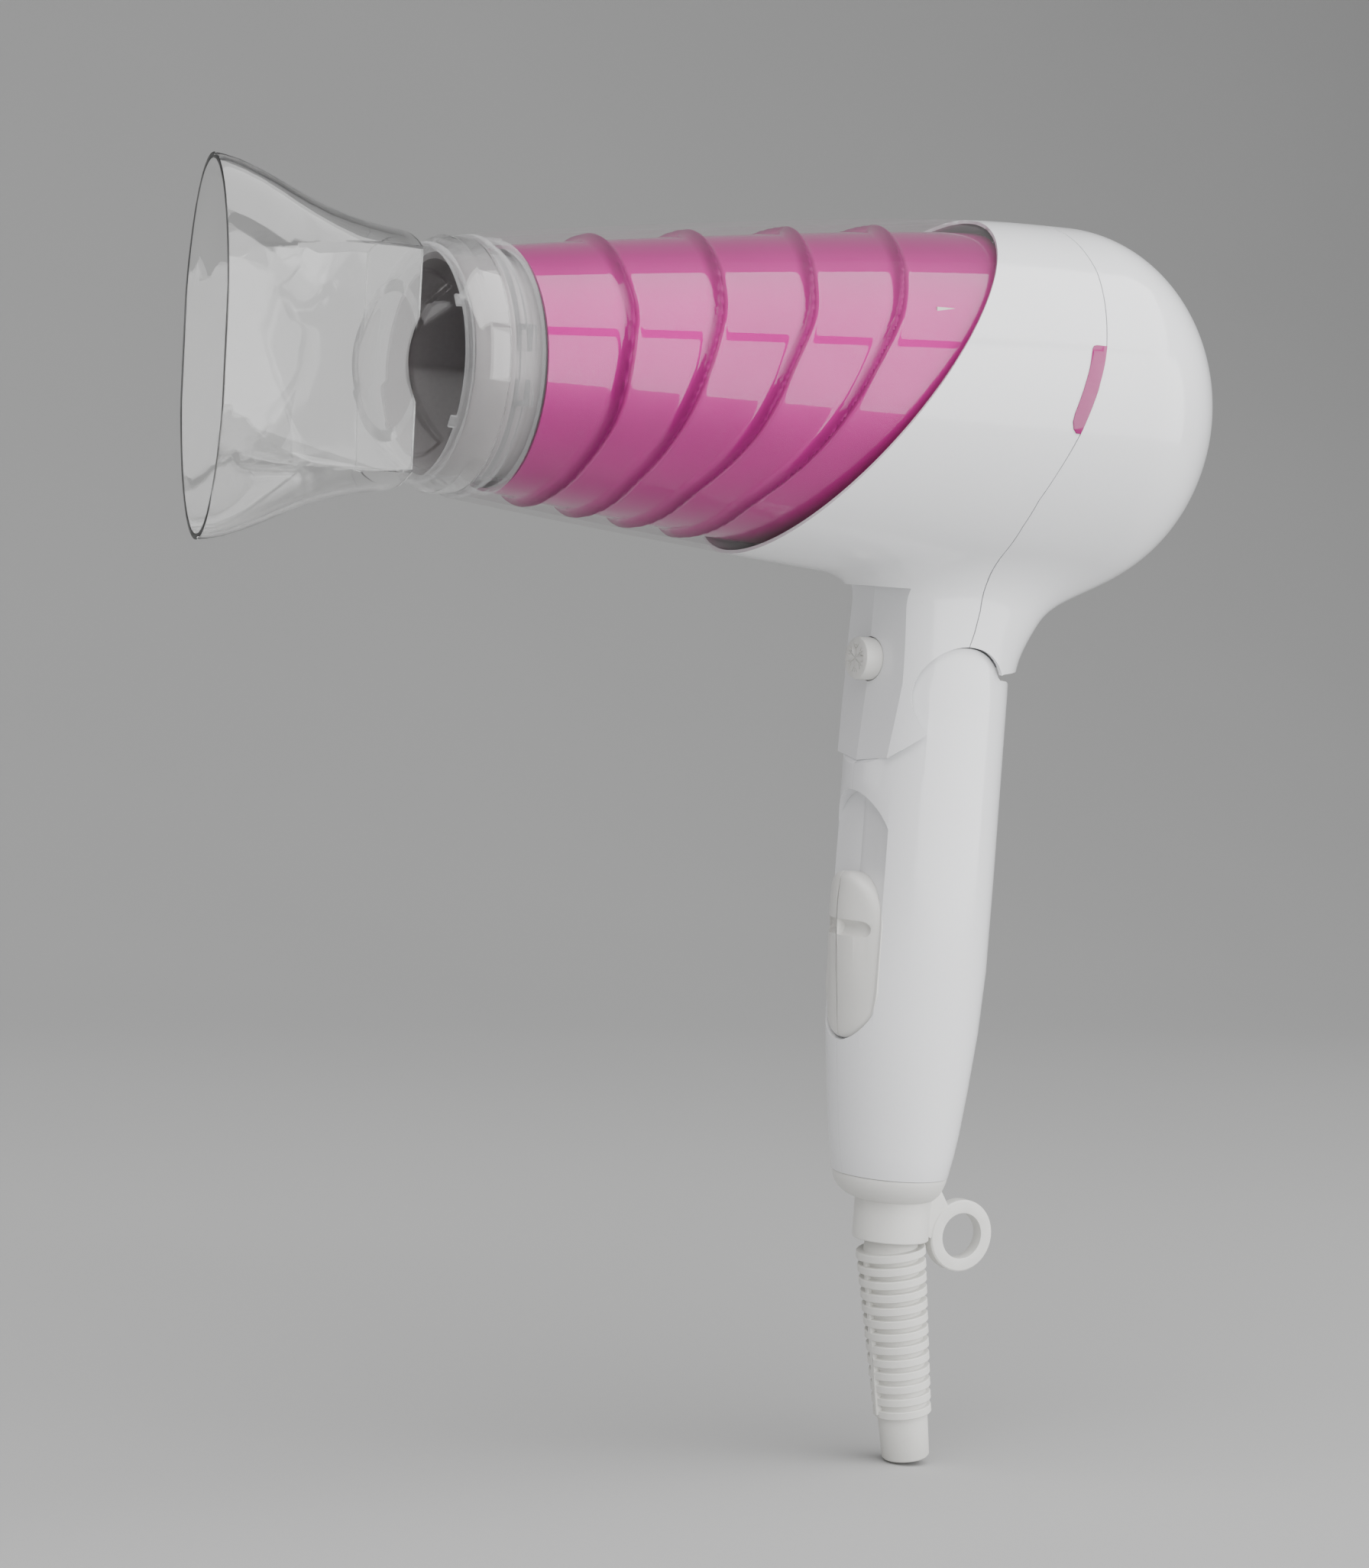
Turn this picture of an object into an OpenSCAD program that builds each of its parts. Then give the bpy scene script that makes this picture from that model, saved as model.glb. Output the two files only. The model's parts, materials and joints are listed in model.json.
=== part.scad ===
// Foldable hair dryer with a clear concentrator nozzle.
// Millimetres, +Z up along the handle, +X towards the air inlet, nozzle towards -X.
// The origin is the centre of the hanging loop's hole under the handle.

/* [Barrel] */
// Height of the barrel's axis above the hanging loop, at the air outlet
outlet_z = 225; // [224:0.5:226]
// Distance from the hanging loop forward to the air outlet
outlet_x = 172; // [171:0.5:173]
// Nose-down angle of the barrel against square to the handle
barrel_tilt = 1.2; // [1:0.1:1.4]
// Outer radius of the barrel at the air outlet
outlet_r = 33.3; // [33.2:0.1:33.4]
// Outer radius of the barrel over the fan
fan_r = 50.4; // [50:0.1:50.6]
// Length of the barrel from air outlet to the back of the inlet
barrel_l = 222.5; // [222:0.5:224]
// Wall of the moulded housings
wall = 2.2; // [2.0:0.1:2.4]
// Gap between the clear sleeve and the pink skin under it
skin_gap = 0.4; // [0.3:0.1:0.5]

/* [Nozzle] */
// Height of the nozzle's mouth
mouth_h = 94.2; // [92:0.2:96]
// Width of the nozzle's mouth
mouth_w = 28.4; // [27:0.2:30]
// Length of the nozzle in front of the air outlet
nozzle_l = 68.3; // [67:0.1:69]
// Wall of the clear nozzle
nozzle_wall = 1.5; // [1.4:0.1:1.7]

/* [Handle] */
// Front-to-back depth of the handle
handle_d = 44; // [43.6:0.2:44.4]
// Side-to-side width of the handle
handle_w = 41.4; // [41:0.2:41.8]
// Radius of the knuckle at the top of the handle
knuckle_r = 13.7; // [13.5:0.1:13.9]
// Height of the fold hinge above the hanging loop
pivot_z = 149; // [148.8:0.1:149.2]
// Travel of each slide switch
slide_travel = 15; // [12:0.5:15.5]

/* [Cool shot button] */
// Radius of the button
button_r = 5.8; // [5.5:0.1:6]
// How far the button pushes in
button_travel = 1.8; // [1:0.1:2]

/* [Hanging loop] */
// Radius of the hole in the loop
hook_r = 6.4; // [6.2:0.1:6.6]
// Thickness of the loop
hook_t = 4; // [3.5:0.1:4.5]

/* [Hidden] */
$fn = 64;

fit = 0.05;            // radial clearance of a running fit
gap = 0.35;            // clearance between parts that move past each other
far = 400;             // longer than the object
handle_x = -23.6;      // handle axis
pivot_x = -25.4;       // fold hinge
half_d = handle_d / 2;
half_w = handle_w / 2;
cap_z = 18.5;          // seam between handle and end cap
collar_z = 10.5;       // top of the hanging loop's collar
collar_x = -22.3;      // axis of the collar
collar_r = 10.6;
sleeve_r = 9.2;        // shank of the strain relief inside the collar
relief_tilt = 9.8;     // lean of the strain relief
cord_r = 3.6;
floor_x = -41;         // floor of the switch recess
recess_w = 13.6;       // half width of the switch recess
recess_low = 70;       // straight part of the recess, lower and upper end
recess_high = 107;
recess_cap = 15.5;     // height of its rounded ends
slider_high = 85.5;    // upper end of a slider's straight side
slot_w = 2.4;
button_z = 157.9;
neck_front = -42.6;
proud = 1.6;           // the neck stands this far outside the handle
lip_z = 157.5;
pin_r = 2.5;
lug_half = 6;
lug_x = pivot_x - 8;   // front face of the lug
button_face = -47.6;   // front face of the button
button_l = 6.4;
stem_r = 1.6;
stem_end = -35.3;
switch_half = 4;       // half width and half height of the cool shot switch
switch_d = 5.1;
bush_u = 117;          // the inner barrel ends in a flange here, back from the outlet
grille_u = 22;         // front of the outlet grille
heater_u = 27;         // front of the heater's tube, back from the outlet
coil_u = heater_u + 9; // first turn of the heating coils
coils = 10;
coil_pitch = 6.6;
coil_r = 21;
mica_r = 25;
duct_r = 27.5;
spigot_r = 30.3;
bore_r = spigot_r + gap;
nozzle_collar_r = 32.4;
nozzle_r = nozzle_collar_r - 0.2;    // the flared shell starts inside the collar's wall
motor_r = 13.5;
shaft_r = 1.5;

function circle_points(rx, ry, n = 48) = [for (i = [0 : n - 1]) [rx * cos(360 * i / n), ry * sin(360 * i / n)]];

// Outer radius of the barrel at the distance u back from the outlet.
BARREL = concat([[0, outlet_r], [40, outlet_r + 5.3], [100, outlet_r + 12], [150, fan_r - 0.4], [180, fan_r]],
    [for (a = [15 : 15 : 75]) [180 + (barrel_l - 180) * sin(a), fan_r * cos(a)]]);
function barrel_r(u) = lookup(u, BARREL);

module in_barrel() {
    translate([-outlet_x, 0, outlet_z]) rotate([0, -barrel_tilt, 0]) children();
}

// Turns a profile of [back from outlet, radius] points about the barrel's axis.
module turned(points, angle = 360) {
    rotate([0, 90, 0]) rotate_extrude(angle = angle) polygon([for (p = points) [p[1], p[0]]]);
}

module tube(u0, u1, r_out, r_in) {
    turned([[u0, r_in], [u1, r_in], [u1, r_out], [u0, r_out]]);
}

// A band of the barrel's own surface between two insets.
module barrel_band(u0, u1, out, in) {
    stations = concat([u0], [for (p = BARREL) if (p[0] > u0 && p[0] < u1) p[0]], [u1]);
    count = len(stations);
    turned(concat([for (u = stations) [u, barrel_r(u) - out]],
        [for (i = [count - 1 : -1 : 0]) [stations[i], barrel_r(stations[i]) - in]]));
}

// Everything inside the barrel's outer surface, drawn in by inset.
module barrel_solid(inset) {
    in_barrel() turned(concat([[0, 0]], [for (p = BARREL) [min(p[0], barrel_l - inset), p[1] - inset]],
        [[barrel_l - inset, 0]]));
}

// Extrudes an outline in X and Z right through the object.
module side_cut(points) {
    rotate([90, 0, 0]) linear_extrude(far, center = true) polygon(points);
}

PINK_CUT = [[-24.5, 277.5], [-89.5, 183]];
module in_front_of_cut(shift = 0) {
    side_cut([[PINK_CUT[0][0] + 35 - shift, PINK_CUT[0][1] + 50.9], [PINK_CUT[1][0] - 35 - shift, PINK_CUT[1][1] - 50.9],
        [-far, 100], [-far, far]]);
}

SEAM = [[-1.5, 290], [-3, 265], [-7, 244.6], [-14.6, 220.7], [-21.4, 203], [-22.5, 190], [-23.2, 173], [-26, 161]];
module behind_seam(shift = 0) {
    side_cut(concat([for (p = SEAM) [p[0] + shift, p[1]]], [[-26 + shift, 100], [100, 100], [100, 290]]));
}

// The neck under the barrel, drawn in by inset; it opens out towards the barrel.
module neck_solid(inset) {
    d = half_d + proud - inset;
    w = half_w + proud - inset;
    intersection() {
        translate([0, 0, 125]) linear_extrude(95)
            polygon(concat([for (i = [12 : 36]) [handle_x + d * cos(7.5 * i), w * sin(7.5 * i)]],
                [for (i = [-12 : 12]) [24 + d * cos(7.5 * i), w * sin(7.5 * i)]]));
        side_cut([[-46 + inset, 125], [-44.2 + inset, 141], [neck_front + inset, 152], [neck_front + inset, 170],
            [-45 + inset, 176.5], [-51 + inset, 179.5 + inset], [-62, 181.8 + inset], [-80, 183.5 + inset],
            [-60, 220], [40, 220], [31 - inset, 194], [19 - inset, 184], [8.5 - inset, 173],
            [2.6 - inset, 164], [0 - inset, lip_z], [0 - inset, 125]]);
    }
}

module head_solid(inset) {
    union() {
        barrel_solid(inset);
        neck_solid(inset);
    }
}

module across(r, h = 100) {
    translate([pivot_x, 0, pivot_z]) rotate([90, 0, 0]) cylinder(r = r, h = h, center = true);
}

// Room for the handle's top: the knuckle, what is below the tongue and what is below the rear lip.
TONGUE = [[-60, 129.6], [-45.5, 129.9], [-35.6, 139.3]];
module handle_room() {
    across(knuckle_r + gap);
    side_cut(concat(TONGUE, [[pivot_x, pivot_z], [-13, 156.2], [30, lip_z], [30, 100], [-60, 100]]));
}

module button_bore(r) {
    translate([-60, 0, button_z]) rotate([0, 90, 0]) cylinder(r = r, h = 26);
}

module head_shell() {
    difference() {
        head_solid(0);
        barrel_solid(wall);
        neck_solid(proud - gap);
        handle_room();
    }
}

// --- handle ---

// Solid of the handle below the head, drawn in by inset.
module handle_solid(inset) {
    top = inset == 0 ? 0 : 2;
    intersection() {
        translate([handle_x, 0, 0]) linear_extrude(170)
            polygon(circle_points(half_d - inset, half_w - inset));
        union() {
            side_cut([[-60, 129.2 - top], [-45.5, 129.4 - top], [-35.4 + top / 2, 138.8 - top], [pivot_x, pivot_z],
                [-13.5, 154 - top], [-4.5, 153 - top], [-1.6 - inset, 149.5 - top], [-1.5 - inset, 75],
                [-4.5 - inset, 42], [-7 - inset, 24], [-8.6 - inset, cap_z],
                [-39.7 + inset, cap_z - 1], [-41.8 + inset, 30], [-43.3 + inset, 42], [-45.6 + inset, 75],
                [-45.6 + inset, 122]]);
            across(knuckle_r - inset);
        }
    }
}

function recess_outline(w, low, high, cap) = concat(
    [for (a = [0 : 15 : 180]) [w * cos(a), high + cap * sin(a)]],
    [for (a = [180 : 15 : 360]) [w * cos(a), low + cap * sin(a)]]);

module recess_cut() {
    translate([floor_x, 0, 0]) rotate([90, 0, -90]) linear_extrude(20)
        polygon(recess_outline(recess_w, recess_low, recess_high, recess_cap));
}

module handle_shell() {
    difference() {
        handle_solid(0);
        handle_solid(2.2);
        recess_cut();
    }
    // floor of the switch recess
    intersection() {
        handle_solid(0.8);
        difference() {
            translate([floor_x, -16, 52]) cube([1.6, 32, 73]);
            for (side = [-1, 1])
                translate([floor_x - 1, side * 6 - slot_w / 2, 58]) cube([4, slot_w, 14 + slide_travel + 8]);
        }
    }
    // cheeks that carry the hinge pin
    intersection() {
        handle_solid(1);
        difference() {
            across(9.5);
            across(30, 14);
        }
    }
}

module lug_sweep() {
    // slot that the head's lug swings in
    translate([pivot_x, 0, pivot_z]) rotate([90, 0, 0]) cylinder(r = 12, h = 2 * lug_half + 2 * gap, center = true);
    difference() {
        translate([pivot_x - 13, -lug_half - gap, pivot_z - 3]) cube([26, 2 * lug_half + 2 * gap, 20]);
        side_cut([[-60, 100], [-60, 139], [pivot_x - 9, 146], [pivot_x, 146], [30, 149], [30, 100]]);
    }
}

module screw_posts(r) {
    for (z = [30, 46, 132]) translate([handle_x + (z > 100 ? 8 : 4), 0, z]) rotate([90, 0, 0])
        cylinder(r = r, h = 60, center = true);
}

module half_handle(side) {
    intersection() {
        difference() {
            union() {
                handle_shell();
                intersection() { handle_solid(1); screw_posts(3.4); }
            }
            across(pin_r + fit, 29);
            lug_sweep();
            screw_posts(1.5);
            translate([0, side * 33, 0]) screw_posts(2.9);
            if (side > 0) translate([0, -33, 0]) screw_posts(1.5);
        }
        translate([-100, side > 0 ? 0.03 : -60.03, 0]) cube([150, 60, 200]);
    }
}

module handle_left() { color("white") half_handle(-1); }
module handle_right() { color("white") half_handle(1); }

module end_cap() {
    color("whitesmoke") difference() {
        intersection() {
            translate([handle_x, 0, 0]) linear_extrude(60) polygon(circle_points(half_d - 3, half_w - 3.4));
            side_cut([[-39.7, cap_z - 1.1], [-8.6, cap_z - 0.1], [-10, 14.5], [-13, collar_z + 0.1],
                [-33.5, collar_z + 0.1], [-38, 13.5]]);
        }
        translate([collar_x, 0, 0]) cylinder(r = 7.4, h = 14);
        translate([handle_x, 0, 13]) linear_extrude(20) polygon(circle_points(half_d - 9, half_w - 7));
    }
}

module hang_loop() {
    color("whitesmoke") difference() {
        union() {
            translate([collar_x, 0, -0.5]) cylinder(r = collar_r, h = collar_z + 0.5);
            rotate([90, 0, 0]) cylinder(r = 10, h = hook_t, center = true);
            side_cut_slab([[-14, collar_z], [-8, collar_z], [-1, 9], [-4, -2], [-12, 0]], hook_t);
        }
        translate([collar_x, 0, -5]) cylinder(r = sleeve_r - 1.4, h = 30);
        rotate([90, 0, 0]) cylinder(r = hook_r, h = 30, center = true);
    }
}

module side_cut_slab(points, thickness) {
    rotate([90, 0, 0]) linear_extrude(thickness, center = true) polygon(points);
}

module in_relief() {
    translate([collar_x, 0, -0.6]) rotate([0, -relief_tilt, 0]) children();
}

module strain_relief() {
    color("whitesmoke") difference() {
        union() {
            in_relief() rotate_extrude() polygon([[0, 2], [7, 2], [7.6, -1.5], [7.2, -50], [6.9, -51], [7.3, -52],
                [7, -62], [0, -62]]);
            for (i = [0 : 12]) in_relief() translate([0, 0, -3.6 - 3.72 * i]) rotate_extrude()
                polygon([[5, 1.1], [9.7 - 0.13 * i, 1.1], [9.7 - 0.13 * i, -1.1], [5, -1.1]]);
            translate([collar_x, 0, -0.7]) cylinder(r = sleeve_r - 1.5, h = collar_z + 0.6);
        }
        in_relief() translate([0, 0, -63]) cylinder(r = cord_r, h = 63.5);
        translate([collar_x, 0, -1.4]) cylinder(r = cord_r + 0.9, h = 30);
    }
}

module handle_screws() {
    color("silver") for (z = [30, 46, 132]) translate([handle_x + (z > 100 ? 8 : 4), 0, z]) rotate([90, 0, 0]) {
        translate([0, 0, -4]) cylinder(r = 1.45, h = 8.4);
        translate([0, 0, 4.2]) cylinder(r = 2.7, h = 1.8);
    }
}

module hinge_pin() {
    color("silver") across(pin_r, 28);
}

// One slide switch button; side is -1 for left and 1 for right.
module slider(side) {
    color("whitesmoke") union() {
        intersection() {
            translate([floor_x - gap, 0, 0]) rotate([90, 0, -90]) linear_extrude(8)
                polygon(recess_outline(recess_w - 0.5, recess_low, slider_high, recess_cap - 0.6));
            translate([handle_x, 0, 0]) linear_extrude(170) polygon(circle_points(half_d - 0.5, half_w - 0.5));
            translate([-60, side > 0 ? 0.25 : -20.25, 40]) cube([40, 20, 80]);
        }
        translate([-46.8, side > 0 ? 0.6 : -8.6, 82.6]) cube([4, 8, 5.2]);
        translate([floor_x - 1, side * 6 - slot_w / 2 + 0.35, 63]) cube([6.5, slot_w - 0.7, 10]);
    }
}
module speed_slider() { slider(-1); }
module heat_slider() { slider(1); }

module switch_box(side) {
    color("dimgray") difference() {
        translate([floor_x + 2, side * 6 - 4.6, 57]) cube([13, 9.2, 40]);
        translate([floor_x + 1, side * 6 - slot_w / 2, 61.5]) cube([5.2, slot_w, 14 + slide_travel]);
    }
}
module speed_switch() { switch_box(-1); }
module heat_switch() { switch_box(1); }

// --- head ---

module front_housing() {
    color("white") difference() {
        union() {
            difference() {
                head_shell();
                in_front_of_cut(-0.3);
                behind_seam(-0.05);
            }
            // inner barrel that the sleeve and the pink skin are pushed over
            in_barrel() tube(14, bush_u + 1, 29.6, 28);
            difference() {
                in_barrel() tube(bush_u - 1, bush_u + 1, barrel_r(bush_u) - 1, 28);
                intersection() {
                    in_front_of_cut(-0.3);
                    in_barrel() tube(bush_u - 4, bush_u + 4, far, barrel_r(bush_u) - 4.2);
                }
            }
            // button guide and hinge lug
            difference() {
                button_guide(8);
                across(knuckle_r + 1);
            }
            hinge_lug();
        }
        button_bore(button_r + 0.15);
        housing_screw_shanks();
    }
}

module button_guide(r) {
    translate([neck_front + 1, 0, button_z]) rotate([0, 90, 0]) cylinder(r = r, h = 5);
}

module hinge_lug() {
    difference() {
        union() {
            across(8, 2 * lug_half);
            intersection() {
                translate([lug_x, -lug_half, pivot_z]) cube([16, 2 * lug_half, 24]);
                side_cut([[-60, 149], [-60, 200], [pivot_x + 0.5, 200], [pivot_x + 0.5, 149]]);
            }
            intersection() {
                neck_solid(0.6);
                translate([lug_x, -25, 165]) cube([8, 50, 4]);
            }
        }
        across(pin_r + fit, 60);
        // pocket of the cool shot switch
        translate([lug_x - 1, -switch_half - 0.2, button_z - switch_half - 0.2])
            cube([switch_d + 1.5, 2 * switch_half + 0.4, 2 * switch_half + 0.4]);
    }
}

module rear_cover() {
    color("white") difference() {
        intersection() {
            head_shell();
            behind_seam(0.05);
        }
        in_barrel() translate([190, 0, 0]) rotate([0, 90, 0]) cylinder(r = 31, h = 60);
    }
}

INLAY = [[-11.4, 244], [-6.9, 244.6], [-14.6, 220.7], [-18, 225], [-16, 232]];
module seam_trims() {
    color("deeppink") intersection() {
        difference() {
            barrel_solid(-0.35);
            barrel_solid(-0.01);
        }
        side_cut(INLAY);
    }
}

module clear_sleeve() {
    color("lightgray", 0.4) intersection() {
        in_barrel() barrel_band(0, 170, 0, 2);
        in_front_of_cut(0);
    }
}

module pink_skin() {
    color("hotpink") intersection() {
        in_barrel() barrel_band(10, 168, 2 + skin_gap, 3.2 + skin_gap);
        in_front_of_cut(0);
    }
}

module outlet_collar() {
    color("lightgray", 0.5) in_barrel() {
        tube(-9.5, 14, spigot_r, spigot_r - 1.7);
        tube(2, 4, outlet_r - 2.1, spigot_r - 0.2);
        tube(7, 9, outlet_r - 1.6, spigot_r - 0.2);
    }
}

module outlet_grille() {
    color("dimgray") in_barrel() {
        for (r = [6, 12, 18]) tube(grille_u, grille_u + 3, r + 0.6, r - 0.6);
        tube(grille_u, grille_u + 3, duct_r - 1.6, duct_r - 3);
        for (a = [0 : 60 : 150]) rotate([a, 0, 0])
            translate([grille_u + 0.5, -(duct_r - 2), -0.6]) cube([2, 2 * duct_r - 4, 1.2]);
    }
}

module air_duct() {
    color("rosybrown") in_barrel() tube(-8, 112, duct_r, duct_r - 1.5);
}

module mica_tube() {
    color("wheat") in_barrel() tube(heater_u, heater_u + 80, mica_r + 0.6, mica_r);
}

module mica_cross() {
    color("wheat") in_barrel() difference() {
        union() {
            translate([heater_u + 2, 0.4 - mica_r, -0.4]) cube([76, 2 * mica_r - 0.8, 0.8]);
            translate([heater_u + 2, -0.4, 0.4 - mica_r]) cube([76, 0.8, 2 * mica_r - 0.8]);
        }
        for (i = [0 : coils - 1]) translate([coil_u + coil_pitch * i, 0, 0]) rotate([0, 90, 0]) difference() {
            cylinder(r = coil_r + 0.8, h = 1.6, center = true);
            cylinder(r = coil_r - 0.8, h = 2, center = true);
        }
    }
}

module heating_coils() {
    color("silver") in_barrel() for (i = [0 : coils - 1]) translate([coil_u + coil_pitch * i, 0, 0]) rotate([0, 90, 0])
        rotate_extrude() translate([coil_r, 0]) circle(r = 0.6, $fn = 16);
}

module thermal_cutout() {
    color("silver") in_barrel() {
        translate([heater_u + 24, 3, 4]) rotate([0, 90, 0]) cylinder(r = 2, h = 12);
        translate([heater_u + 20, 3, 4]) rotate([0, 90, 0]) cylinder(r = 0.5, h = 20);
    }
}

module motor_mount() {
    color("gainsboro") difference() {
        in_barrel() {
            tube(118.2, 182, 38, 36.4);
            tube(124, 152, motor_r + 1.9, motor_r + 0.1);
            for (a = [0 : 45 : 315]) rotate([a, 0, 0]) translate([126, -0.6, motor_r + 1.5]) cube([24, 1.2, 21.8]);
            for (a = [22.5 : 90 : 300]) rotate([a, 0, 0]) translate([176, -2, 37.5]) cube([4, 4, 10.6]);
            for (side = [-1, 1]) translate([118.2, side * 35 - 3, 17]) cube([8, 6, 6]);
        }
        housing_screw_shanks();
    }
}

module motor() {
    color("silver") in_barrel() {
        tube(122, 155, motor_r, shaft_r + fit);
        tube(155, 157, 5, shaft_r + fit);
    }
}

module motor_shaft() {
    color("gray") in_barrel() translate([118, 0, 0]) rotate([0, 90, 0]) cylinder(r = shaft_r, h = 62);
}

module impeller() {
    color("ivory") in_barrel() {
        tube(161, 180, 12, 9.5);
        tube(178, 180, 11, 3);
        tube(161, 180, 4, shaft_r);
        for (a = [0 : 40 : 320]) rotate([a, 0, 0]) translate([162, 0, 11.4]) rotate([0, 0, 35])
            translate([-1, -0.6, 0]) cube([17, 1.2, 23.4]);
    }
}

module inlet_grille() {
    color("white") in_barrel() {
        tube(211, 216, 30.9, 28.8);
        for (r = [5 : 5 : 25]) tube(214 + 5.5 * (1 - pow(r / 31, 2)), 217 + 5.5 * (1 - pow(r / 31, 2)), r + 0.9, r - 0.9);
        for (a = [0 : 60 : 150]) rotate([a, 0, 0]) translate([213.5, -29.5, -1]) cube([2.5, 59, 2]);
        for (a = [0 : 60 : 300]) rotate([a, 0, 0]) turned([[214, 3], [214, 29.5], [216.5, 29.5], [221, 3]], 4);
    }
}

module lint_filter() {
    color("gray") in_barrel() {
        turned([[206.5, 0], [207.3, 0], [207.3, 30.4], [206.5, 30.4]]);
        tube(206, 209, 30.6, 29.6);
    }
}

module cool_button() {
    color("whitesmoke") translate([button_face, 0, button_z]) rotate([0, 90, 0]) {
        cylinder(r = button_r, h = button_l);
        translate([0, 0, button_l - 0.1]) cylinder(r = stem_r, h = stem_end - button_face - button_l + 0.1);
    }
}

module button_spring() {
    color("silver") for (i = [0 : 4]) translate([-39 + 1.3 * i, 0, button_z]) rotate([0, 90, 0])
        rotate_extrude() translate([3.2, 0]) circle(r = 0.25, $fn = 16);
}

module cool_switch() {
    color("dimgray") translate([lug_x + 0.2, -switch_half, button_z - switch_half])
        cube([switch_d, 2 * switch_half, 2 * switch_half]);
}

module housing_screw_shanks() {
    for (side = [-1, 1]) in_barrel() translate([115, side * 35, 20]) rotate([0, 90, 0]) cylinder(r = 1.4, h = 10);
}

module housing_screws() {
    color("silver") {
        housing_screw_shanks();
        for (side = [-1, 1]) in_barrel() translate([114, side * 35, 20]) rotate([0, 90, 0]) cylinder(r = 2.6, h = 2);
    }
}

// --- nozzle ---

module nozzle_clip() {
    color("lightgray", 0.6) in_barrel() tube(-11.9, -9.8, spigot_r, spigot_r - 1.2);
}

// Half height and half width of the nozzle at t from 0 at the collar to 1 at the mouth.
function nozzle_h(t) = nozzle_r + (mouth_h / 2 - nozzle_r) * pow(sin(90 * pow(t, 1.25)), 2);
function nozzle_w(t) = nozzle_r + (mouth_w / 2 - nozzle_r) * pow(t, 1.1);
function nozzle_ring(t, inset, count) = [for (i = [0 : count - 1]) let (a = 360 * i / count)
    [-12 - (nozzle_l - 12) * t, (nozzle_w(t) - inset) * sin(a), (nozzle_h(t) - inset) * cos(a)]];

module nozzle_shell(count = 48, rings = 9) {
    outer = [for (j = [0 : rings - 1]) each nozzle_ring(j / (rings - 1), 0, count)];
    inner = [for (j = [0 : rings - 1]) each nozzle_ring(j / (rings - 1), j == 0 ? 1.3 : nozzle_wall, count)];
    shift = rings * count;
    last = (rings - 1) * count;
    polyhedron(concat(outer, inner), concat(
        [for (j = [0 : rings - 2], i = [0 : count - 1]) let (a = j * count, k = (i + 1) % count)
            each [[a + k, a + i, a + count + k], [a + i, a + count + i, a + count + k]]],
        [for (j = [0 : rings - 2], i = [0 : count - 1]) let (a = shift + j * count, k = (i + 1) % count)
            each [[a + i, a + k, a + count + k], [a + i, a + count + k, a + count + i]]],
        [for (i = [0 : count - 1]) let (k = (i + 1) % count)
            each [[i, k, shift + k], [i, shift + k, shift + i]]],
        [for (i = [0 : count - 1]) let (k = (i + 1) % count)
            each [[last + k, last + i, shift + last + i], [last + k, shift + last + i, shift + last + k]]]));
}

module nozzle() {
    color("lightgray", 0.4) in_barrel() {
        nozzle_shell();
        tube(-14, -0.8, nozzle_collar_r, bore_r);
    }
}

handle_left();
handle_right();
end_cap();
hang_loop();
strain_relief();
handle_screws();
hinge_pin();
speed_slider();
heat_slider();
speed_switch();
heat_switch();
front_housing();
rear_cover();
seam_trims();
clear_sleeve();
pink_skin();
outlet_collar();
outlet_grille();
air_duct();
mica_tube();
mica_cross();
heating_coils();
thermal_cutout();
motor_mount();
motor();
impeller();
motor_shaft();
inlet_grille();
lint_filter();
cool_button();
button_spring();
cool_switch();
housing_screws();
nozzle_clip();
nozzle();
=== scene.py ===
import json
import math

import bpy
from mathutils import Matrix, Vector


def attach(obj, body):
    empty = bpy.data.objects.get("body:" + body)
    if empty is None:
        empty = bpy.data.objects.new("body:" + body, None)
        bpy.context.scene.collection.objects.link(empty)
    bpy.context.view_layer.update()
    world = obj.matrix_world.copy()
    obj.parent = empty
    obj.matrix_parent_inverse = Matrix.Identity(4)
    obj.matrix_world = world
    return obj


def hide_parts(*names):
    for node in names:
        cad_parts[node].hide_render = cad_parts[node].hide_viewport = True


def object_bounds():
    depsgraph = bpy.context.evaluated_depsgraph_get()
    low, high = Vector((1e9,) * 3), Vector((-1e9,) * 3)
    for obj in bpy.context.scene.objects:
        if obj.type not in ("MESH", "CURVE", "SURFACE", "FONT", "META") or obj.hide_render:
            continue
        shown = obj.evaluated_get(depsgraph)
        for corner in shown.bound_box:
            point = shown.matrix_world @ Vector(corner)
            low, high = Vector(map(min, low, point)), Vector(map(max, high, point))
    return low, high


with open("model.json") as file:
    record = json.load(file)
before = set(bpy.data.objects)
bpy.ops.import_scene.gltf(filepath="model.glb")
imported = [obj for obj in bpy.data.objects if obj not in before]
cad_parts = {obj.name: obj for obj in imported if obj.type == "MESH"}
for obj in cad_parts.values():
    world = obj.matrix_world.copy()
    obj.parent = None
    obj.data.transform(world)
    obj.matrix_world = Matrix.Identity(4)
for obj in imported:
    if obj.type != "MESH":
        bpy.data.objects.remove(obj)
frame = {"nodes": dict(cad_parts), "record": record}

cad_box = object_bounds()
bpy.ops.object.select_all(action="DESELECT")


# ---- Camera ----
# A long lens about a metre away, turned towards the mouth of the nozzle and a little above the dryer.
# The dryer is held up by its strain relief and leans slightly, so the camera is rolled by the same angle.
CAMERA_AROUND = math.radians(29.51)
CAMERA_DOWN = math.radians(3.01)
CAMERA_ROLL = math.radians(4.18)
CAMERA_DISTANCE = 1.00565
CAMERA_AIM = Vector((-0.0974, 0, 0.1219))

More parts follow.
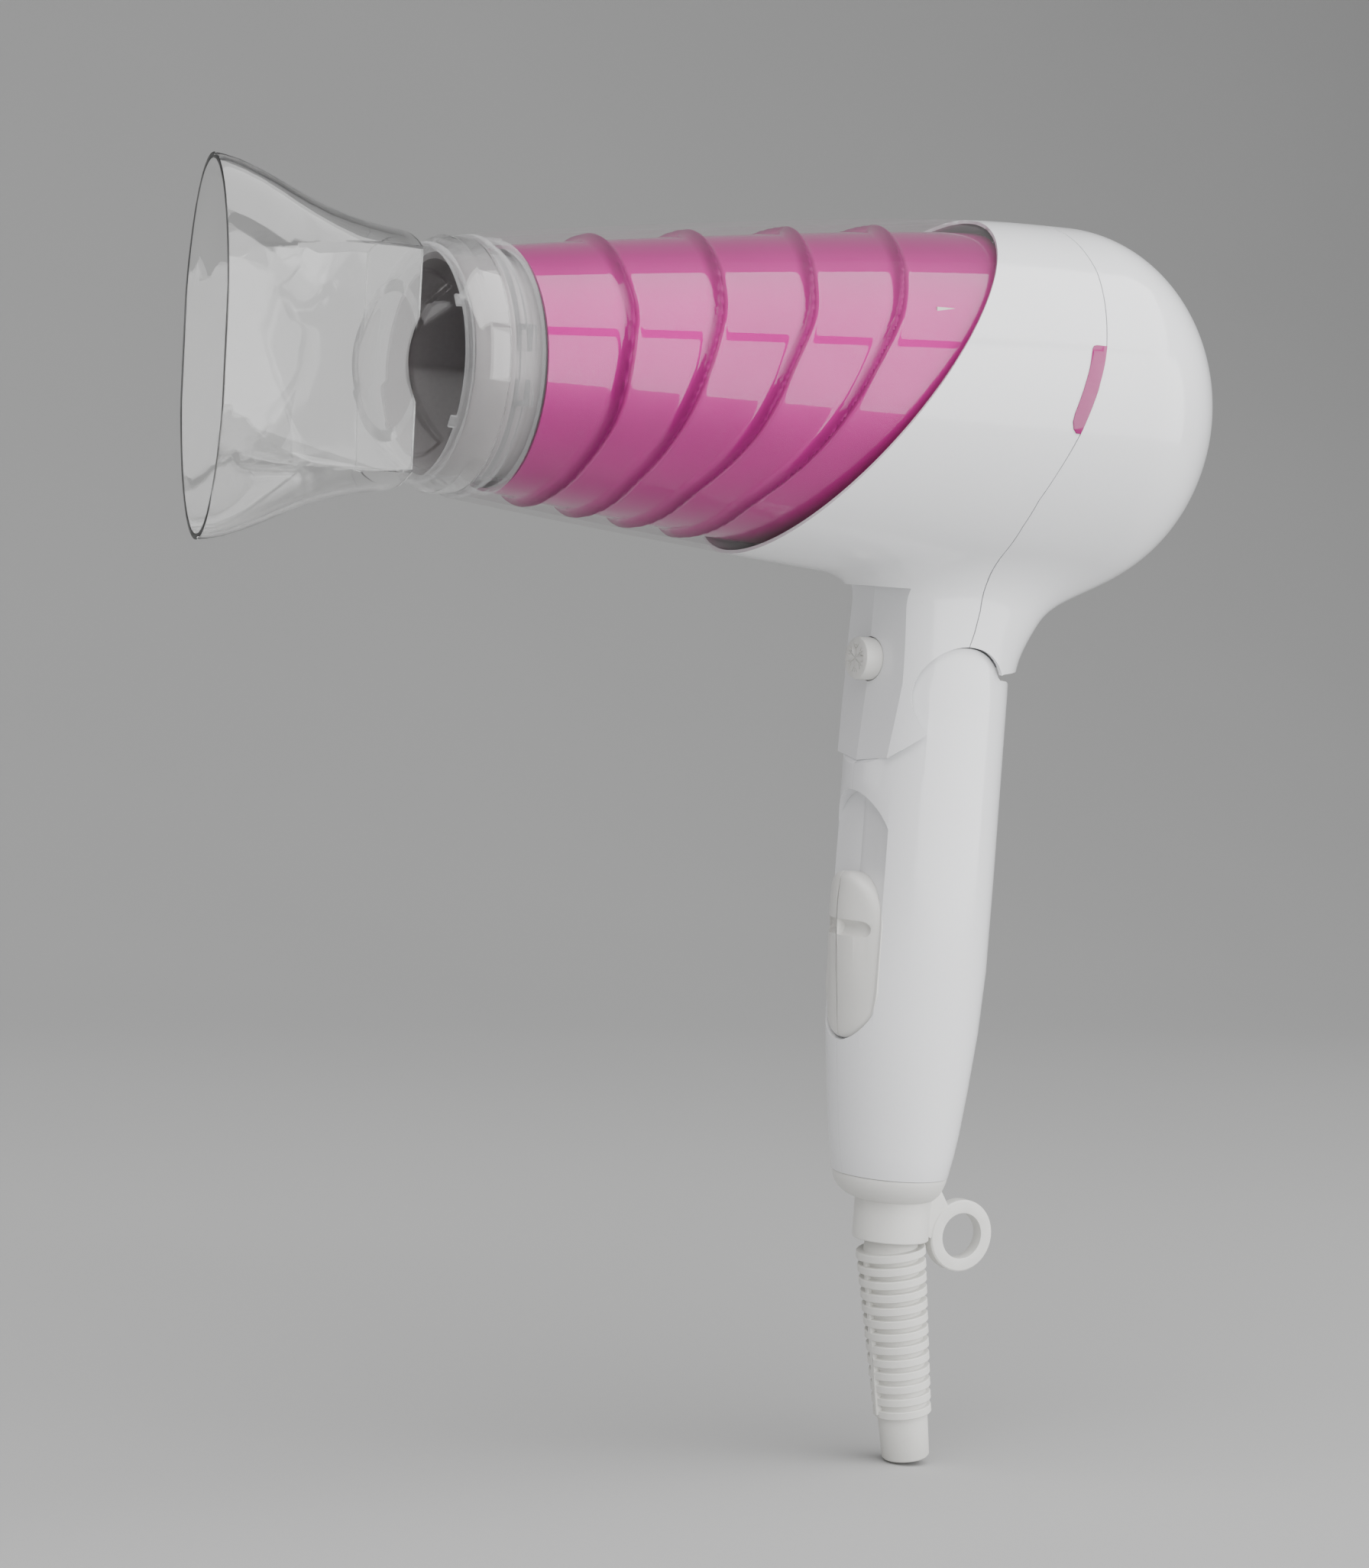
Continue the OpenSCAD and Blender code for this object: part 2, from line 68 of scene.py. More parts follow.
sight = Vector((math.sin(CAMERA_AROUND) * math.cos(CAMERA_DOWN),
                math.cos(CAMERA_AROUND) * math.cos(CAMERA_DOWN), -math.sin(CAMERA_DOWN)))
right = Vector((math.cos(CAMERA_AROUND), -math.sin(CAMERA_AROUND), 0))
above = right.cross(sight)
camera = bpy.data.objects.new("camera", bpy.data.cameras.new("camera"))
bpy.context.collection.objects.link(camera)
camera.data.sensor_fit = "HORIZONTAL"
camera.data.sensor_width = 36
camera.data.lens = 36 * 5000 / 1792
turned_right = math.cos(CAMERA_ROLL) * right + math.sin(CAMERA_ROLL) * above
turned_up = -math.sin(CAMERA_ROLL) * right + math.cos(CAMERA_ROLL) * above
camera.matrix_world = Matrix.Translation(CAMERA_AIM - CAMERA_DISTANCE * sight) @ Matrix(
    (turned_right, turned_up, -sight)).transposed().to_4x4()
bpy.context.scene.camera = camera


# ---- Floor and backdrop ----
# One sheet of pale grey studio paper: it lies under the strain relief and sweeps up far behind the dryer.
# Materials are written as sums of node sockets, with Object coordinates in millimetres.
class Socket:
    """The output of a shader node. Arithmetic on it adds Math nodes."""

    def __init__(self, tree, output):
        self.tree, self.output = tree, output

    def node(self, kind, settings=None, inputs=None, output=0):
        made = self.tree.nodes.new(kind)
        for key, value in (settings or {}).items():
            if key == "stops":
                ramp = made.color_ramp.elements
                while len(ramp) < len(value):
                    ramp.new(0.5)
                for stop, (place, colour) in zip(ramp, value):
                    stop.position, stop.color = place, colour
            else:
                setattr(made, key, value)
        for key, value in (inputs or {}).items():
            if isinstance(value, Socket):
                self.tree.links.new(value.output, made.inputs[key])
            else:
                made.inputs[key].default_value = value
        return Socket(self.tree, made.outputs[output])

    def math(self, operation, first, second=0.0):
        return self.node("ShaderNodeMath", {"operation": operation}, {0: first, 1: second})

    def __add__(self, other):
        return self.math("ADD", self, other)

    def __sub__(self, other):
        return self.math("SUBTRACT", self, other)

    def __rsub__(self, other):
        return self.math("SUBTRACT", other, self)

    def __mul__(self, other):
        return self.math("MULTIPLY", self, other)

    __radd__, __rmul__ = __add__, __mul__

    def noise(self, size, detail=3.0):
        """Soft noise from 0 to 1 on this vector, with patches of about that size."""
        return self.node("ShaderNodeTexNoise", {}, {"Vector": self, "Scale": 1 / size, "Detail": detail})

    def between(self, low, high):
        """0 below low, 1 above high."""
        return self.node("ShaderNodeMapRange", {"clamp": True},
                         {"Value": self, "From Min": low, "From Max": high})

    def tint(self, first, second):
        """The first colour where this is 0, the second where it is 1."""
        return self.node("ShaderNodeMix", {"data_type": "RGBA"},
                         {"Factor": self, "A": (*first, 1), "B": (*second, 1)}, output=2)

    def bump(self, height, strength=1.0):
        """A normal from this height in millimetres."""
        return self.node("ShaderNodeBump", {}, {"Height": self, "Distance": height, "Strength": strength})


def start_material(name):
    """A new material, and its Object coordinates in millimetres."""
    material = bpy.data.materials.new(name)
    material.use_nodes = True
    tree = material.node_tree
    tree.nodes.clear()
    place = Socket(tree, tree.nodes.new("ShaderNodeTexCoord").outputs["Object"])
    return material, place.node("ShaderNodeVectorMath", {"operation": "SCALE"}, {0: place, "Scale": 1000.0})


def close_material(material, place, **sockets):
    """Ends a material in a Principled shader; names use _ for a space."""
    surface = place.node("ShaderNodeBsdfPrincipled", {}, {key.replace("_", " "): value
                                                         for key, value in sockets.items()})
    out = place.tree.nodes.new("ShaderNodeOutputMaterial")
    place.tree.links.new(surface.output, out.inputs["Surface"])
    return material


MM = 0.001
paper, place = start_material("studio_paper")
fibre = place.noise(3.0) * 0.3 + place.noise(400.0) * 0.7
close_material(paper, place, Base_Color=fibre.tint((0.39, 0.39, 0.387), (0.43, 0.43, 0.426)), Roughness=0.9,
               Normal=fibre.bump(0.00005))

FLOOR = cad_box[0][2] - 0.3 * MM
FLOOR_LONG, FLOOR_WIDE, FLOOR_BACK = 4, 10, 0.9
SWEEP_STEPS, SWEEP_STEP, WALL_HEIGHT = 30, 0.085, 4
floor_middle = (0, FLOOR_BACK - FLOOR_LONG / 2, FLOOR)
bpy.ops.mesh.primitive_plane_add(size=1, location=floor_middle)
floor = bpy.context.object
floor.name = "floor"
bpy.ops.object.mode_set(mode="EDIT")
bpy.ops.transform.resize(value=(FLOOR_WIDE, FLOOR_LONG, 1), center_override=floor_middle)
bpy.ops.object.mode_set(mode="OBJECT")
bpy.ops.object.transform_apply()
bpy.ops.object.mode_set(mode="EDIT")
bpy.ops.mesh.select_all(action="DESELECT")
bpy.ops.object.mode_set(mode="OBJECT")
for edge in floor.data.edges:
    edge.select = all(floor.data.vertices[v].co.y > FLOOR_BACK - 0.01 for v in edge.vertices)
bpy.ops.object.mode_set(mode="EDIT")
bpy.ops.mesh.select_mode(type="EDGE")
for step in range(SWEEP_STEPS):
    slope = math.radians(90 * (step + 0.5) / SWEEP_STEPS)
    bpy.ops.mesh.extrude_region_move(
        TRANSFORM_OT_translate={"value": (0, SWEEP_STEP * math.cos(slope), SWEEP_STEP * math.sin(slope))})
bpy.ops.mesh.extrude_region_move(TRANSFORM_OT_translate={"value": (0, 0, WALL_HEIGHT)})
bpy.ops.mesh.select_mode(type="VERT")
bpy.ops.object.mode_set(mode="OBJECT")
bpy.ops.object.shade_smooth()
floor.data.materials.append(paper)


# ---- Lights ----
# Two wide softboxes stacked over each other beside the camera, with a narrow gap between them that draws
# the dark line along glossy barrels, a weak one on the nozzle's side, and an even grey room.
LAMP_AIM = CAMERA_AIM + Vector((0, 0, 0.1))


def softbox(name, towards, elevation, distance, width, height, power):
    """An area light that faces the barrel; towards is its direction round the dryer in degrees."""
    lamp = bpy.data.objects.new(name, bpy.data.lights.new(name, "AREA"))
    bpy.context.collection.objects.link(lamp)
    lamp.data.shape, lamp.data.size, lamp.data.size_y, lamp.data.energy = "RECTANGLE", width, height, power
    around, up = math.radians(towards), math.radians(elevation)
    lamp.location = LAMP_AIM + distance * Vector(
        (math.sin(around) * math.cos(up), -math.cos(around) * math.cos(up), math.sin(up)))
    lamp.rotation_euler = (LAMP_AIM - lamp.location).to_track_quat("-Z", "Y").to_euler()


softbox("front_softbox", 24, -2, 1.6, 3.5, 2.12, 84)
softbox("top_softbox", 4, 65, 1.5, 3.6, 1.5, 58)
softbox("left_softbox", -105, 12, 2.0, 1.2, 2.2, 10)
ROOM_LIGHT = 0.17
world = bpy.data.worlds.new("grey_room")
bpy.context.scene.world = world
world.use_nodes = True
world.node_tree.nodes["Background"].inputs["Color"].default_value = (0.95, 0.96, 1, 1)
world.node_tree.nodes["Background"].inputs["Strength"].default_value = ROOM_LIGHT


# ---- Nozzle ----
# The concentrator nozzle, moulded in clear acrylic: a round collar, a steep shoulder and a flared mouth
# with two flat side panels. It snaps over the outlet and turns on it.
turn_joint = next(joint for joint in frame["record"]["behaviour"]["joints"] if joint["name"] == "nozzle_turn")
OUTLET = Vector(turn_joint["pos_m"]) / MM
BARREL_AXIS = Vector(turn_joint["axis"])


def loft(name, rings, turn=(0, math.pi / 2, 0), count=96, capped=True):
    """A tube through rings, each a centre and half sizes in millimetres, square to X as turn stands."""
    rings = [(Vector(centre), Vector(half)) for centre, half in rings]
    bpy.ops.mesh.primitive_circle_add(vertices=count, radius=1, location=rings[0][0], rotation=turn,
                                      fill_type="NGON" if capped else "NOTHING")
    bpy.ops.object.transform_apply()
    piece = bpy.context.object
    piece.name = name
    bpy.ops.object.mode_set(mode="EDIT")
    bpy.ops.transform.resize(value=rings[0][1], center_override=rings[0][0])
    for (centre, half), (next_centre, next_half) in zip(rings, rings[1:]):
        bpy.ops.mesh.extrude_region_move(TRANSFORM_OT_translate={"value": next_centre - centre})
        bpy.ops.transform.resize(value=[b / a for a, b in zip(half, next_half)], center_override=next_centre)
    bpy.ops.mesh.select_all(action="SELECT")
    bpy.ops.mesh.remove_doubles(threshold=0.0005)
    bpy.ops.mesh.normals_make_consistent(inside=False)
    bpy.ops.object.mode_set(mode="OBJECT")
    return piece


def lathe(name, profile, count=128):
    """A closed shell of revolution about the barrel's axis through [back from the outlet, radius] points."""
    rings = [((u, 0, 0), (1, r, r)) for u, r in profile]
    if profile[0][1] > 0.01:
        rings.append(rings[0])
    return loft(name, rings, count=count, capped=False)


def change(piece, kind, **settings):
    """Adds a modifier and applies it."""
    modifier = piece.modifiers.new(kind, kind)
    for key, value in settings.items():
        setattr(modifier, key, value)
    bpy.context.view_layer.objects.active = piece
    bpy.ops.object.modifier_apply(modifier=modifier.name)


def carve(piece, tool, operation="DIFFERENCE"):
    """Cuts, joins or keeps what the tool covers, and removes the tool."""
    change(piece, "BOOLEAN", operation=operation, object=tool, solver="EXACT")
    bpy.data.objects.remove(tool)


def slice_off(piece, point, normal, fill=True):
    """Cuts the piece with a plane and removes what lies on the side that the normal points to."""
    bpy.ops.object.select_all(action="DESELECT")
    piece.select_set(True)
    bpy.context.view_layer.objects.active = piece
    bpy.ops.object.mode_set(mode="EDIT")
    bpy.ops.mesh.select_all(action="SELECT")
    bpy.ops.mesh.bisect(plane_co=point, plane_no=normal, use_fill=fill, clear_outer=True)
    bpy.ops.object.mode_set(mode="OBJECT")


def finish_piece(piece, material, body, slot, *nodes, round_edge=0.0, round_from=35, steps=2, smooth=32,
                 barrel=False):
    """Rounds edges, shades, moves the piece from millimetres to its place, gives it its material, hangs it on
    its body and hides the CAD nodes that it replaces.
    """
    bpy.ops.object.select_all(action="DESELECT")
    piece.select_set(True)
    bpy.context.view_layer.objects.active = piece
    if round_edge:
        change(piece, "BEVEL", width=round_edge, segments=steps, limit_method="ANGLE",
               angle_limit=math.radians(round_from), use_clamp_overlap=True)
    bpy.ops.object.shade_smooth_by_angle(angle=math.radians(smooth))
    if barrel:
        piece.rotation_euler = (0, -math.asin(BARREL_AXIS.z), 0)
        piece.location = OUTLET * MM
    piece.scale = (MM, MM, MM)
    bpy.ops.object.transform_apply()
    piece.data.materials.clear()
    piece.data.materials.append(material)
    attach(piece, body)
    if nodes:
        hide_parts(*nodes)


clear, place = start_material("clear_acrylic")
haze = place.noise(60.0) * 0.5 + place.noise(2.5) * 0.5
close_material(clear, place, Base_Color=haze.tint((0.985, 0.985, 0.98), (0.955, 0.955, 0.955)),
               Roughness=haze * 0.05 + 0.01, IOR=1.28, Transmission_Weight=1.0,
               Coat_Weight=1.0, Coat_IOR=1.5, Coat_Roughness=0.01,
               Normal=place.noise(9.0, 1.0).bump(0.00012))

# [back from the outlet, half width, half height] of the flare, mouth last
FLARE = [(-19, 32.4, 32.7), (-22, 31.8, 33.0), (-25, 30.6, 33.4), (-30, 28.4, 34.3), (-35, 26.0, 35.5),
         (-40, 23.6, 37.1), (-45, 21.4, 39.1), (-49, 19.8, 40.9), (-53, 18.2, 42.8), (-57, 16.9, 44.4),
         (-62, 15.6, 46.1), (-66, 15.0, 46.9), (-68.3, 14.8, 47.1)]
MOUTH, PANEL_START = FLARE[-1][0], -21.5
# How far the flat side panels stand from the middle
PANEL_MOUTH, PANEL_SHOULDER = 14.2, 17.0
# [back from the outlet, radius] of the round shoulder, collar last
SHOULDER = [(-22.5, 14.5), (-21.5, 17.0), (-18.5, 20.8), (-14.5, 25.4), (-10.5, 29.6), (-8.2, 31.6),
            (-6.5, 32.4), (-0.8, 32.4)]
NOZZLE_WALL, CUT_THROUGH = 1.4, 2


def nozzle_form(name, inset):
    """The nozzle's outside, drawn in by inset."""
    extra = CUT_THROUGH if inset else 0
    flare = loft(name, [((u - (extra if u == MOUTH else 0), 0, 0), (1, w - inset, h - inset))
                        for u, w, h in FLARE], count=144)
    for side in (-1, 1):
        lean = (PANEL_SHOULDER - PANEL_MOUTH) / (PANEL_START - MOUTH)
        slice_off(flare, (MOUTH, side * (PANEL_MOUTH - inset), 0), (-lean, side, 0))
    back, collar_r = SHOULDER[-1]
    shoulder = loft(name + "_shoulder",
                    [((u + inset * 0.9, 0, 0), (1, r - inset, r - inset)) for u, r in SHOULDER[:-1]]
                    + [((back + extra, 0, 0), (1, collar_r - inset, collar_r - inset))], count=144)
    carve(flare, shoulder, "UNION")
    return flare


nozzle = nozzle_form("nozzle", 0)
carve(nozzle, nozzle_form("nozzle_room", NOZZLE_WALL))
finish_piece(nozzle, clear, "nozzle", "clear_plastic", "nozzle", round_edge=0.45, round_from=50, steps=3,
             smooth=24, barrel=True)


# ---- Snap ring ----
# A thin clear ring with small hooked teeth that holds the nozzle on the outlet and lets it turn.
def film(name, straight, edge, shade):
    """Thin clear plastic that is seen through without bending light, and greyer towards its edges."""
    material, place = start_material(name)
    rim = place.node("ShaderNodeLayerWeight", {}, {"Blend": 0.35}, output=1)
    haze = place.noise(40.0) * 0.5 + place.noise(3.0) * 0.5
    close_material(material, place, Base_Color=haze.tint(shade, [0.92 * c for c in shade]),
                   Roughness=haze * 0.06 + 0.02, Alpha=rim * rim * edge + straight,
                   Normal=place.noise(12.0, 1.0).bump(0.0001))
    return material


ring_clear = film("clear_ring", 0.08, 0.55, (0.92, 0.92, 0.93))
sleeve_clear = film("clear_sleeve", 0.01, 0.30, (0.36, 0.345, 0.35))
snap_ring = lathe("snap_ring", [(-12.0, 29.3), (-9.9, 29.0), (-9.9, 30.3), (-11.3, 30.3), (-12.0, 29.9)])
TEETH, TOOTH_U, TOOTH_R = 6, -12.4, 29.6
for tooth in range(TEETH):
    angle = 2 * math.pi * (tooth + 0.5) / TEETH
    bpy.ops.mesh.primitive_cube_add(size=1,
                                    location=(TOOTH_U, TOOTH_R * math.cos(angle), TOOTH_R * math.sin(angle)),
                                    rotation=(angle, 0, 0), scale=(2.4, 0.9, 3.0))
    bpy.ops.object.transform_apply()
    carve(snap_ring, bpy.context.object, "UNION")
finish_piece(snap_ring, ring_clear, "nozzle_ring", "clear_plastic", "nozzle_clip", round_edge=0.15,
             barrel=True)


# ---- Outlet collar ----
# The clear front end of the barrel: a spigot for the nozzle, three stacked flanges and two pairs of
# bayonet tabs, all moulded in one piece and glued into the sleeve.
COLLAR = [(-9.5, 28.6), (-9.5, 29.7), (-8.9, 30.3), (-0.4, 30.3), (-0.4, 33.0), (1.4, 33.2), (1.4, 30.6),
          (2.6, 30.6), (2.6, 31.6), (4.2, 31.6), (4.2, 30.6), (5.6, 30.6), (5.6, 31.9), (8.6, 32.3),
          (8.6, 30.3), (14, 30.3), (14, 28.6)]
TABS, TAB_U, TAB_R = 4, 3.6, 31.2
collar = lathe("outlet_collar", COLLAR)
for tab in range(TABS):
    angle = 2 * math.pi * tab / TABS
    bpy.ops.mesh.primitive_cube_add(size=1,
                                    location=(TAB_U, TAB_R * math.cos(angle), TAB_R * math.sin(angle)),
                                    rotation=(angle, 0, 0), scale=(4.6, 1.6, 20))
    bpy.ops.object.transform_apply()
    carve(collar, bpy.context.object, "UNION")
finish_piece(collar, ring_clear, "head", "clear_plastic", "outlet_collar", round_edge=0.2, barrel=True)


# ---- Air duct, heater and outlet grille ----
# The heat-proof duct that shows through the clear nozzle, with the mica heater and the safety grille
# inside it. Their CAD solids have the right shape and take finished materials.
def plastic(name, light, dark, rough, grain=0.0, grain_size=0.6, ripple=0.00006, **more):
    """Moulded plastic: cloudy colour, uneven gloss, fine grain and the slight waviness of a big moulding."""
    material, place = start_material(name)
    cloud = place.noise(35.0, 2.0) * 0.6 + place.noise(1.2) * 0.4
    wipe = place.noise(14.0).between(0.35, 0.7)
    height = place.noise(grain_size, 2.0) * grain + place.noise(22.0, 1.0) * (ripple * 1000)
    close_material(material, place, Base_Color=cloud.between(0.3, 0.7).tint(light, dark),
                   Roughness=wipe * (rough * 0.25) + rough, Normal=height.bump(MM), **more)
    return material


def metal(name, light, dark, rough, streak=6.0):
    """Drawn or rolled metal with fine streaks and a little oxide in patches."""
    material, place = start_material(name)
    stretched = place.node("ShaderNodeMapping", {}, {"Vector": place, "Scale": (0.15, 1, 1)})
    streaks = stretched.noise(1 / streak, 4.0)
    patches = place.noise(5.0).between(0.4, 0.75)
    return close_material(material, place, Base_Color=(streaks * 0.5 + patches * 0.5).tint(light, dark),
                          Metallic=0.96, Roughness=streaks * 0.15 + rough, Normal=streaks.bump(0.00002))


def repaint(material, *nodes):
    """Gives CAD nodes a finished material."""
    for node in nodes:
        slots = frame["nodes"][node].material_slots
        for slot in slots:
            slot.material = material
        if not slots:
            frame["nodes"][node].data.materials.append(material)


repaint(plastic("duct_plastic", (0.33, 0.30, 0.305), (0.27, 0.245, 0.25), 0.3, grain=0.006), "air_duct")
repaint(plastic("grille_plastic", (0.32, 0.29, 0.295), (0.26, 0.235, 0.24), 0.4, grain=0.012),
        "outlet_grille")
repaint(metal("heater_wire", (0.50, 0.45, 0.42), (0.28, 0.22, 0.2), 0.35), "heating_coils")

mica, place = start_material("mica")
flakes = place.node("ShaderNodeTexVoronoi", {}, {"Vector": place, "Scale": 0.5})
close_material(mica, place,
               Base_Color=(flakes * 0.7 + place.noise(0.8) * 0.3).tint((0.62, 0.52, 0.34), (0.42, 0.33, 0.2)),
               Roughness=place.noise(2.0) * 0.2 + 0.3, Normal=flakes.bump(0.0001))
repaint(mica, "mica_tube", "mica_cross")


# ---- Pink skin ----
# A thin inner barrel sprayed metallic pink, with four slanting raised ribs that touch the clear sleeve.
# It is cut off slanting at the back, where the white housing starts.
BARREL_END, SMALL_R, BIG_R = 180, 33.3, 50.4
TILT = math.asin(BARREL_AXIS.z)


def barrel_r(u):
    """Outer radius of the barrel at u back from the outlet, up to its widest place."""
    left = max(0.0, 1 - u / BARREL_END)
    return BIG_R - (BIG_R - SMALL_R) * left ** (1.48 + 0.8 * (1 - left) ** 4)


def on_barrel(x, z):
    """A point of the side view, in millimetres, in the barrel's own frame."""
    dx, dz = x - OUTLET.x, z - OUTLET.z
    return (dx * math.cos(TILT) + dz * math.sin(TILT), -dx * math.sin(TILT) + dz * math.cos(TILT))


# The slanting cut between pink and white, in the side view
CUT_TOP, CUT_LOW = (-24.5, 277.5), (-89.5, 183)
cut_top, cut_low = on_barrel(*CUT_TOP), on_barrel(*CUT_LOW)
cut_normal = Vector((cut_top[1] - cut_low[1], 0, cut_low[0] - cut_top[0])).normalized()

# Each rib from top to bottom on the near side: height angle above the side in degrees, and u
RIB_POINTS = [
    [(-138.3, -4.8, 263.2), (-140.2, -26.5, 252.2), (-139.6, -33.1, 243.6), (-141.1, -36.2, 234.9),
     (-143.6, -35.1, 213.6), (-147.3, -27.5, 201.4), (-150.3, -12.7, 191.6)],
    [(-110, -3.7, 267.2), (-114.1, -28.8, 254.9), (-115.6, -35.3, 245.9), (-119.3, -39.2, 234.4),
     (-125.6, -37.6, 214.3), (-132.5, -26, 197.4), (-135.3, -6.9, 188.2)],
    [(-80.2, -1.4, 271.5), (-87.8, -29.9, 258.4), (-91.1, -38.8, 245.7), (-98, -42.1, 232.1),
     (-105.6, -39.2, 212.5), (-116.1, -26.9, 196.1), (-120, -6.5, 186.6)],
    [(-53.3, -2.1, 274.8), (-61.2, -31.7, 261.1), (-66.4, -40.8, 248.1), (-74.2, -44.3, 235.1),
     (-85.9, -41.6, 213.3), (-99.4, -27.8, 194.7), (-104.7, -4.7, 185)]]
ribs = []
for points in RIB_POINTS:
    rib = []
    for x, y, z in points:
        u, v = on_barrel(x, z)
        rib.append((math.degrees(math.atan2(v, -y)), u))
    ribs.append(rib[::-1])


def rib_at(rib, angle):
    """u of a rib at an angle above the side, smoothly through its points."""
    first, last = rib[0][1], rib[-1][1]
    knots = [(-90, first + (first - rib[1][1]) * 0.15)] + rib + [(90, last + (last - rib[-2][1]) * 0.1)]
    for (a0, u0), (a1, u1) in zip(knots, knots[1:]):
        if a0 <= angle <= a1:
            return u0 + (u1 - u0) * (angle - a0) / max(a1 - a0, 1e-6)
    return knots[0][1] if angle < -90 else knots[-1][1]


SMOOTH_RIBS, SMOOTHINGS = [], 40
for rib in ribs:
    rough = [rib_at(rib, a - 90) for a in range(181)]
    for _ in range(SMOOTHINGS):
        inner = [(before + 2 * here + after) / 4 for before, here, after in zip(rough, rough[1:], rough[2:])]
        rough = [rough[0]] + inner + [rough[-1]]
    SMOOTH_RIBS.append(rough)

SKIN_DEPTH, SKIN_WALL, UNDER_HOUSING, RIB_HEIGHT, RIB_WIDTH = 3.5, 1.0, 4, 1.9, 2.6
pink_skin = loft("pink_skin", [((u, 0, 0), (1, barrel_r(u) - SKIN_DEPTH, barrel_r(u) - SKIN_DEPTH))
                               for u in [10 + 0.8 * i for i in range(199)]], count=256, capped=False)
touch = pink_skin.data.attributes.new("rib_touch", "FLOAT", "POINT")
for vertex in pink_skin.data.vertices:
    u, y, z = vertex.co
    angle = math.degrees(math.atan2(z, abs(y))) + 90
    low = min(179, int(angle))
    for rough in SMOOTH_RIBS:
        distance = abs(u - (rough[low] + (rough[low + 1] - rough[low]) * (angle - low)))
        if distance < RIB_WIDTH:
            grow = 1 + RIB_HEIGHT * (0.5 + 0.5 * math.cos(math.pi * distance / RIB_WIDTH)) / math.hypot(y, z)
            vertex.co.y, vertex.co.z = y * grow, z * grow
            touch.data[vertex.index].value = max(0.0, 1 - distance / RIB_WIDTH)
slice_off(pink_skin, (cut_low[0] + UNDER_HOUSING, 0, cut_low[1]), cut_normal, fill=False)
change(pink_skin, "SOLIDIFY", thickness=SKIN_WALL, offset=-1)

pink, place = start_material("pink_metallic")
flake = place.node("ShaderNodeTexVoronoi", {}, {"Vector": place, "Scale": 6.0})
mist = place.noise(28.0, 2.0)
ridge = place.node("ShaderNodeAttribute", {"attribute_name": "rib_touch"}, output=2).between(0.25, 0.8)
# Base colour: random tone from the mist and the flakes, plus painted shade along the ribs, where the colour
# is darkened to stand in for the dark lines that the ribs show under the sleeve.
tone_and_rib_shade = mist * 0.35 + flake * 0.15 + ridge * 0.5
close_material(pink, place, Base_Color=tone_and_rib_shade.tint((0.52, 0.004, 0.245), (0.15, 0.001, 0.07)), Metallic=0.5,
               Roughness=mist * 0.1 + 0.42, Coat_Weight=1 - ridge * 0.9, Coat_IOR=1.6, Coat_Roughness=0.03,
               Specular_IOR_Level=0.1,
               Normal=flake.bump(0.00002))
finish_piece(pink_skin, pink, "head", "pink_metallic", "pink_skin", smooth=40, barrel=True)


# ---- Clear sleeve ----
# The outer barrel, moulded in clear acrylic about one and a half millimetres thick; it lies flush with
# the white housing at the slanting cut.
SLEEVE_WALL, SLEEVE_GAP = 1.4, 0.12
sleeve = loft("clear_sleeve", [((u, 0, 0), (1, barrel_r(u), barrel_r(u)))
                                for u in [0.4 + 4.2 * i for i in range(40)]],
              count=192, capped=False)
slice_off(sleeve, (cut_low[0] - SLEEVE_GAP, 0, cut_low[1]), cut_normal, fill=False)
change(sleeve, "SOLIDIFY", thickness=SLEEVE_WALL, offset=-1)
finish_piece(sleeve, sleeve_clear, "head", "clear_plastic", "clear_sleeve", round_edge=0.2, round_from=50,
             barrel=True)


# ---- White housings ----
# The barrel's back and the neck, two glossy white mouldings that meet in a curved seam. The neck runs
# into the barrel in a soft fillet and wraps the top of the handle; two facets meet in a crease in front.
fold_joint = next(joint for joint in frame["record"]["behaviour"]["joints"] if joint["name"] == "fold")
PIVOT = Vector(fold_joint["pos_m"]) / MM
KNUCKLE_R = 13.7
# Height, back of the neck; its front is a straight ellipse that the facets cut
NECK = [(120, -0.2), (150, -0.1), (157.5, 0), (164, 2.6), (173, 8.5), (184, 19), (194, 31), (204, 36),
        (216, 40)]
NECK_FRONT, NECK_W = -47.2, 22.3
FILLET, DOME_LENGTH = 9.0, 42.5


def neck_back(z):
    """Where the back of the neck is at a height."""
    for (z0, x0), (z1, x1) in zip(NECK, NECK[1:]):
        if z <= z1:
            return x0 + (x1 - x0) * max(0.0, z - z0) / (z1 - z0)
    return NECK[-1][1]


def off_head(x, y, z):
    """How far a point stands outside the blended head, in millimetres."""
    u, v = on_barrel(x, z)
    across = math.hypot(v, y)
    if u < BARREL_END:
        off_barrel = across - barrel_r(u)
    else:
        off_barrel = (math.hypot((u - BARREL_END) / DOME_LENGTH, across / BIG_R) - 1) * BIG_R
    back = sum(neck_back(z + shift) for shift in (-3, -1, 1, 3)) / 4
    half = (back - NECK_FRONT) / 2
    off_neck = max((math.hypot((x - NECK_FRONT - half) / half, y / NECK_W) - 1) * NECK_W, z - NECK[-1][0])
    mix = max(FILLET - abs(off_barrel - off_neck), 0) / FILLET
    return min(off_barrel, off_neck) - mix * mix * FILLET / 4


head_form = loft("head_form", [((u, 0, 0), (1, barrel_r(u), barrel_r(u))) for u in range(66, 181, 6)]
                 + [((BARREL_END + DOME_LENGTH * math.sin(math.radians(a)), 0, 0),
                     (1, BIG_R * math.cos(math.radians(a)), BIG_R * math.cos(math.radians(a))))
                    for a in range(6, 90, 6)])
head_form.rotation_euler = (0, -TILT, 0)
head_form.location = OUTLET
bpy.ops.object.transform_apply()
neck = loft("neck", [(((NECK_FRONT + back) / 2, 0, z), ((back - NECK_FRONT) / 2, NECK_W, 1))
                     for z, back in NECK], turn=(0, 0, 0))
carve(head_form, neck, "UNION")
change(head_form, "REMESH", mode="VOXEL", voxel_size=1.3, adaptivity=0)
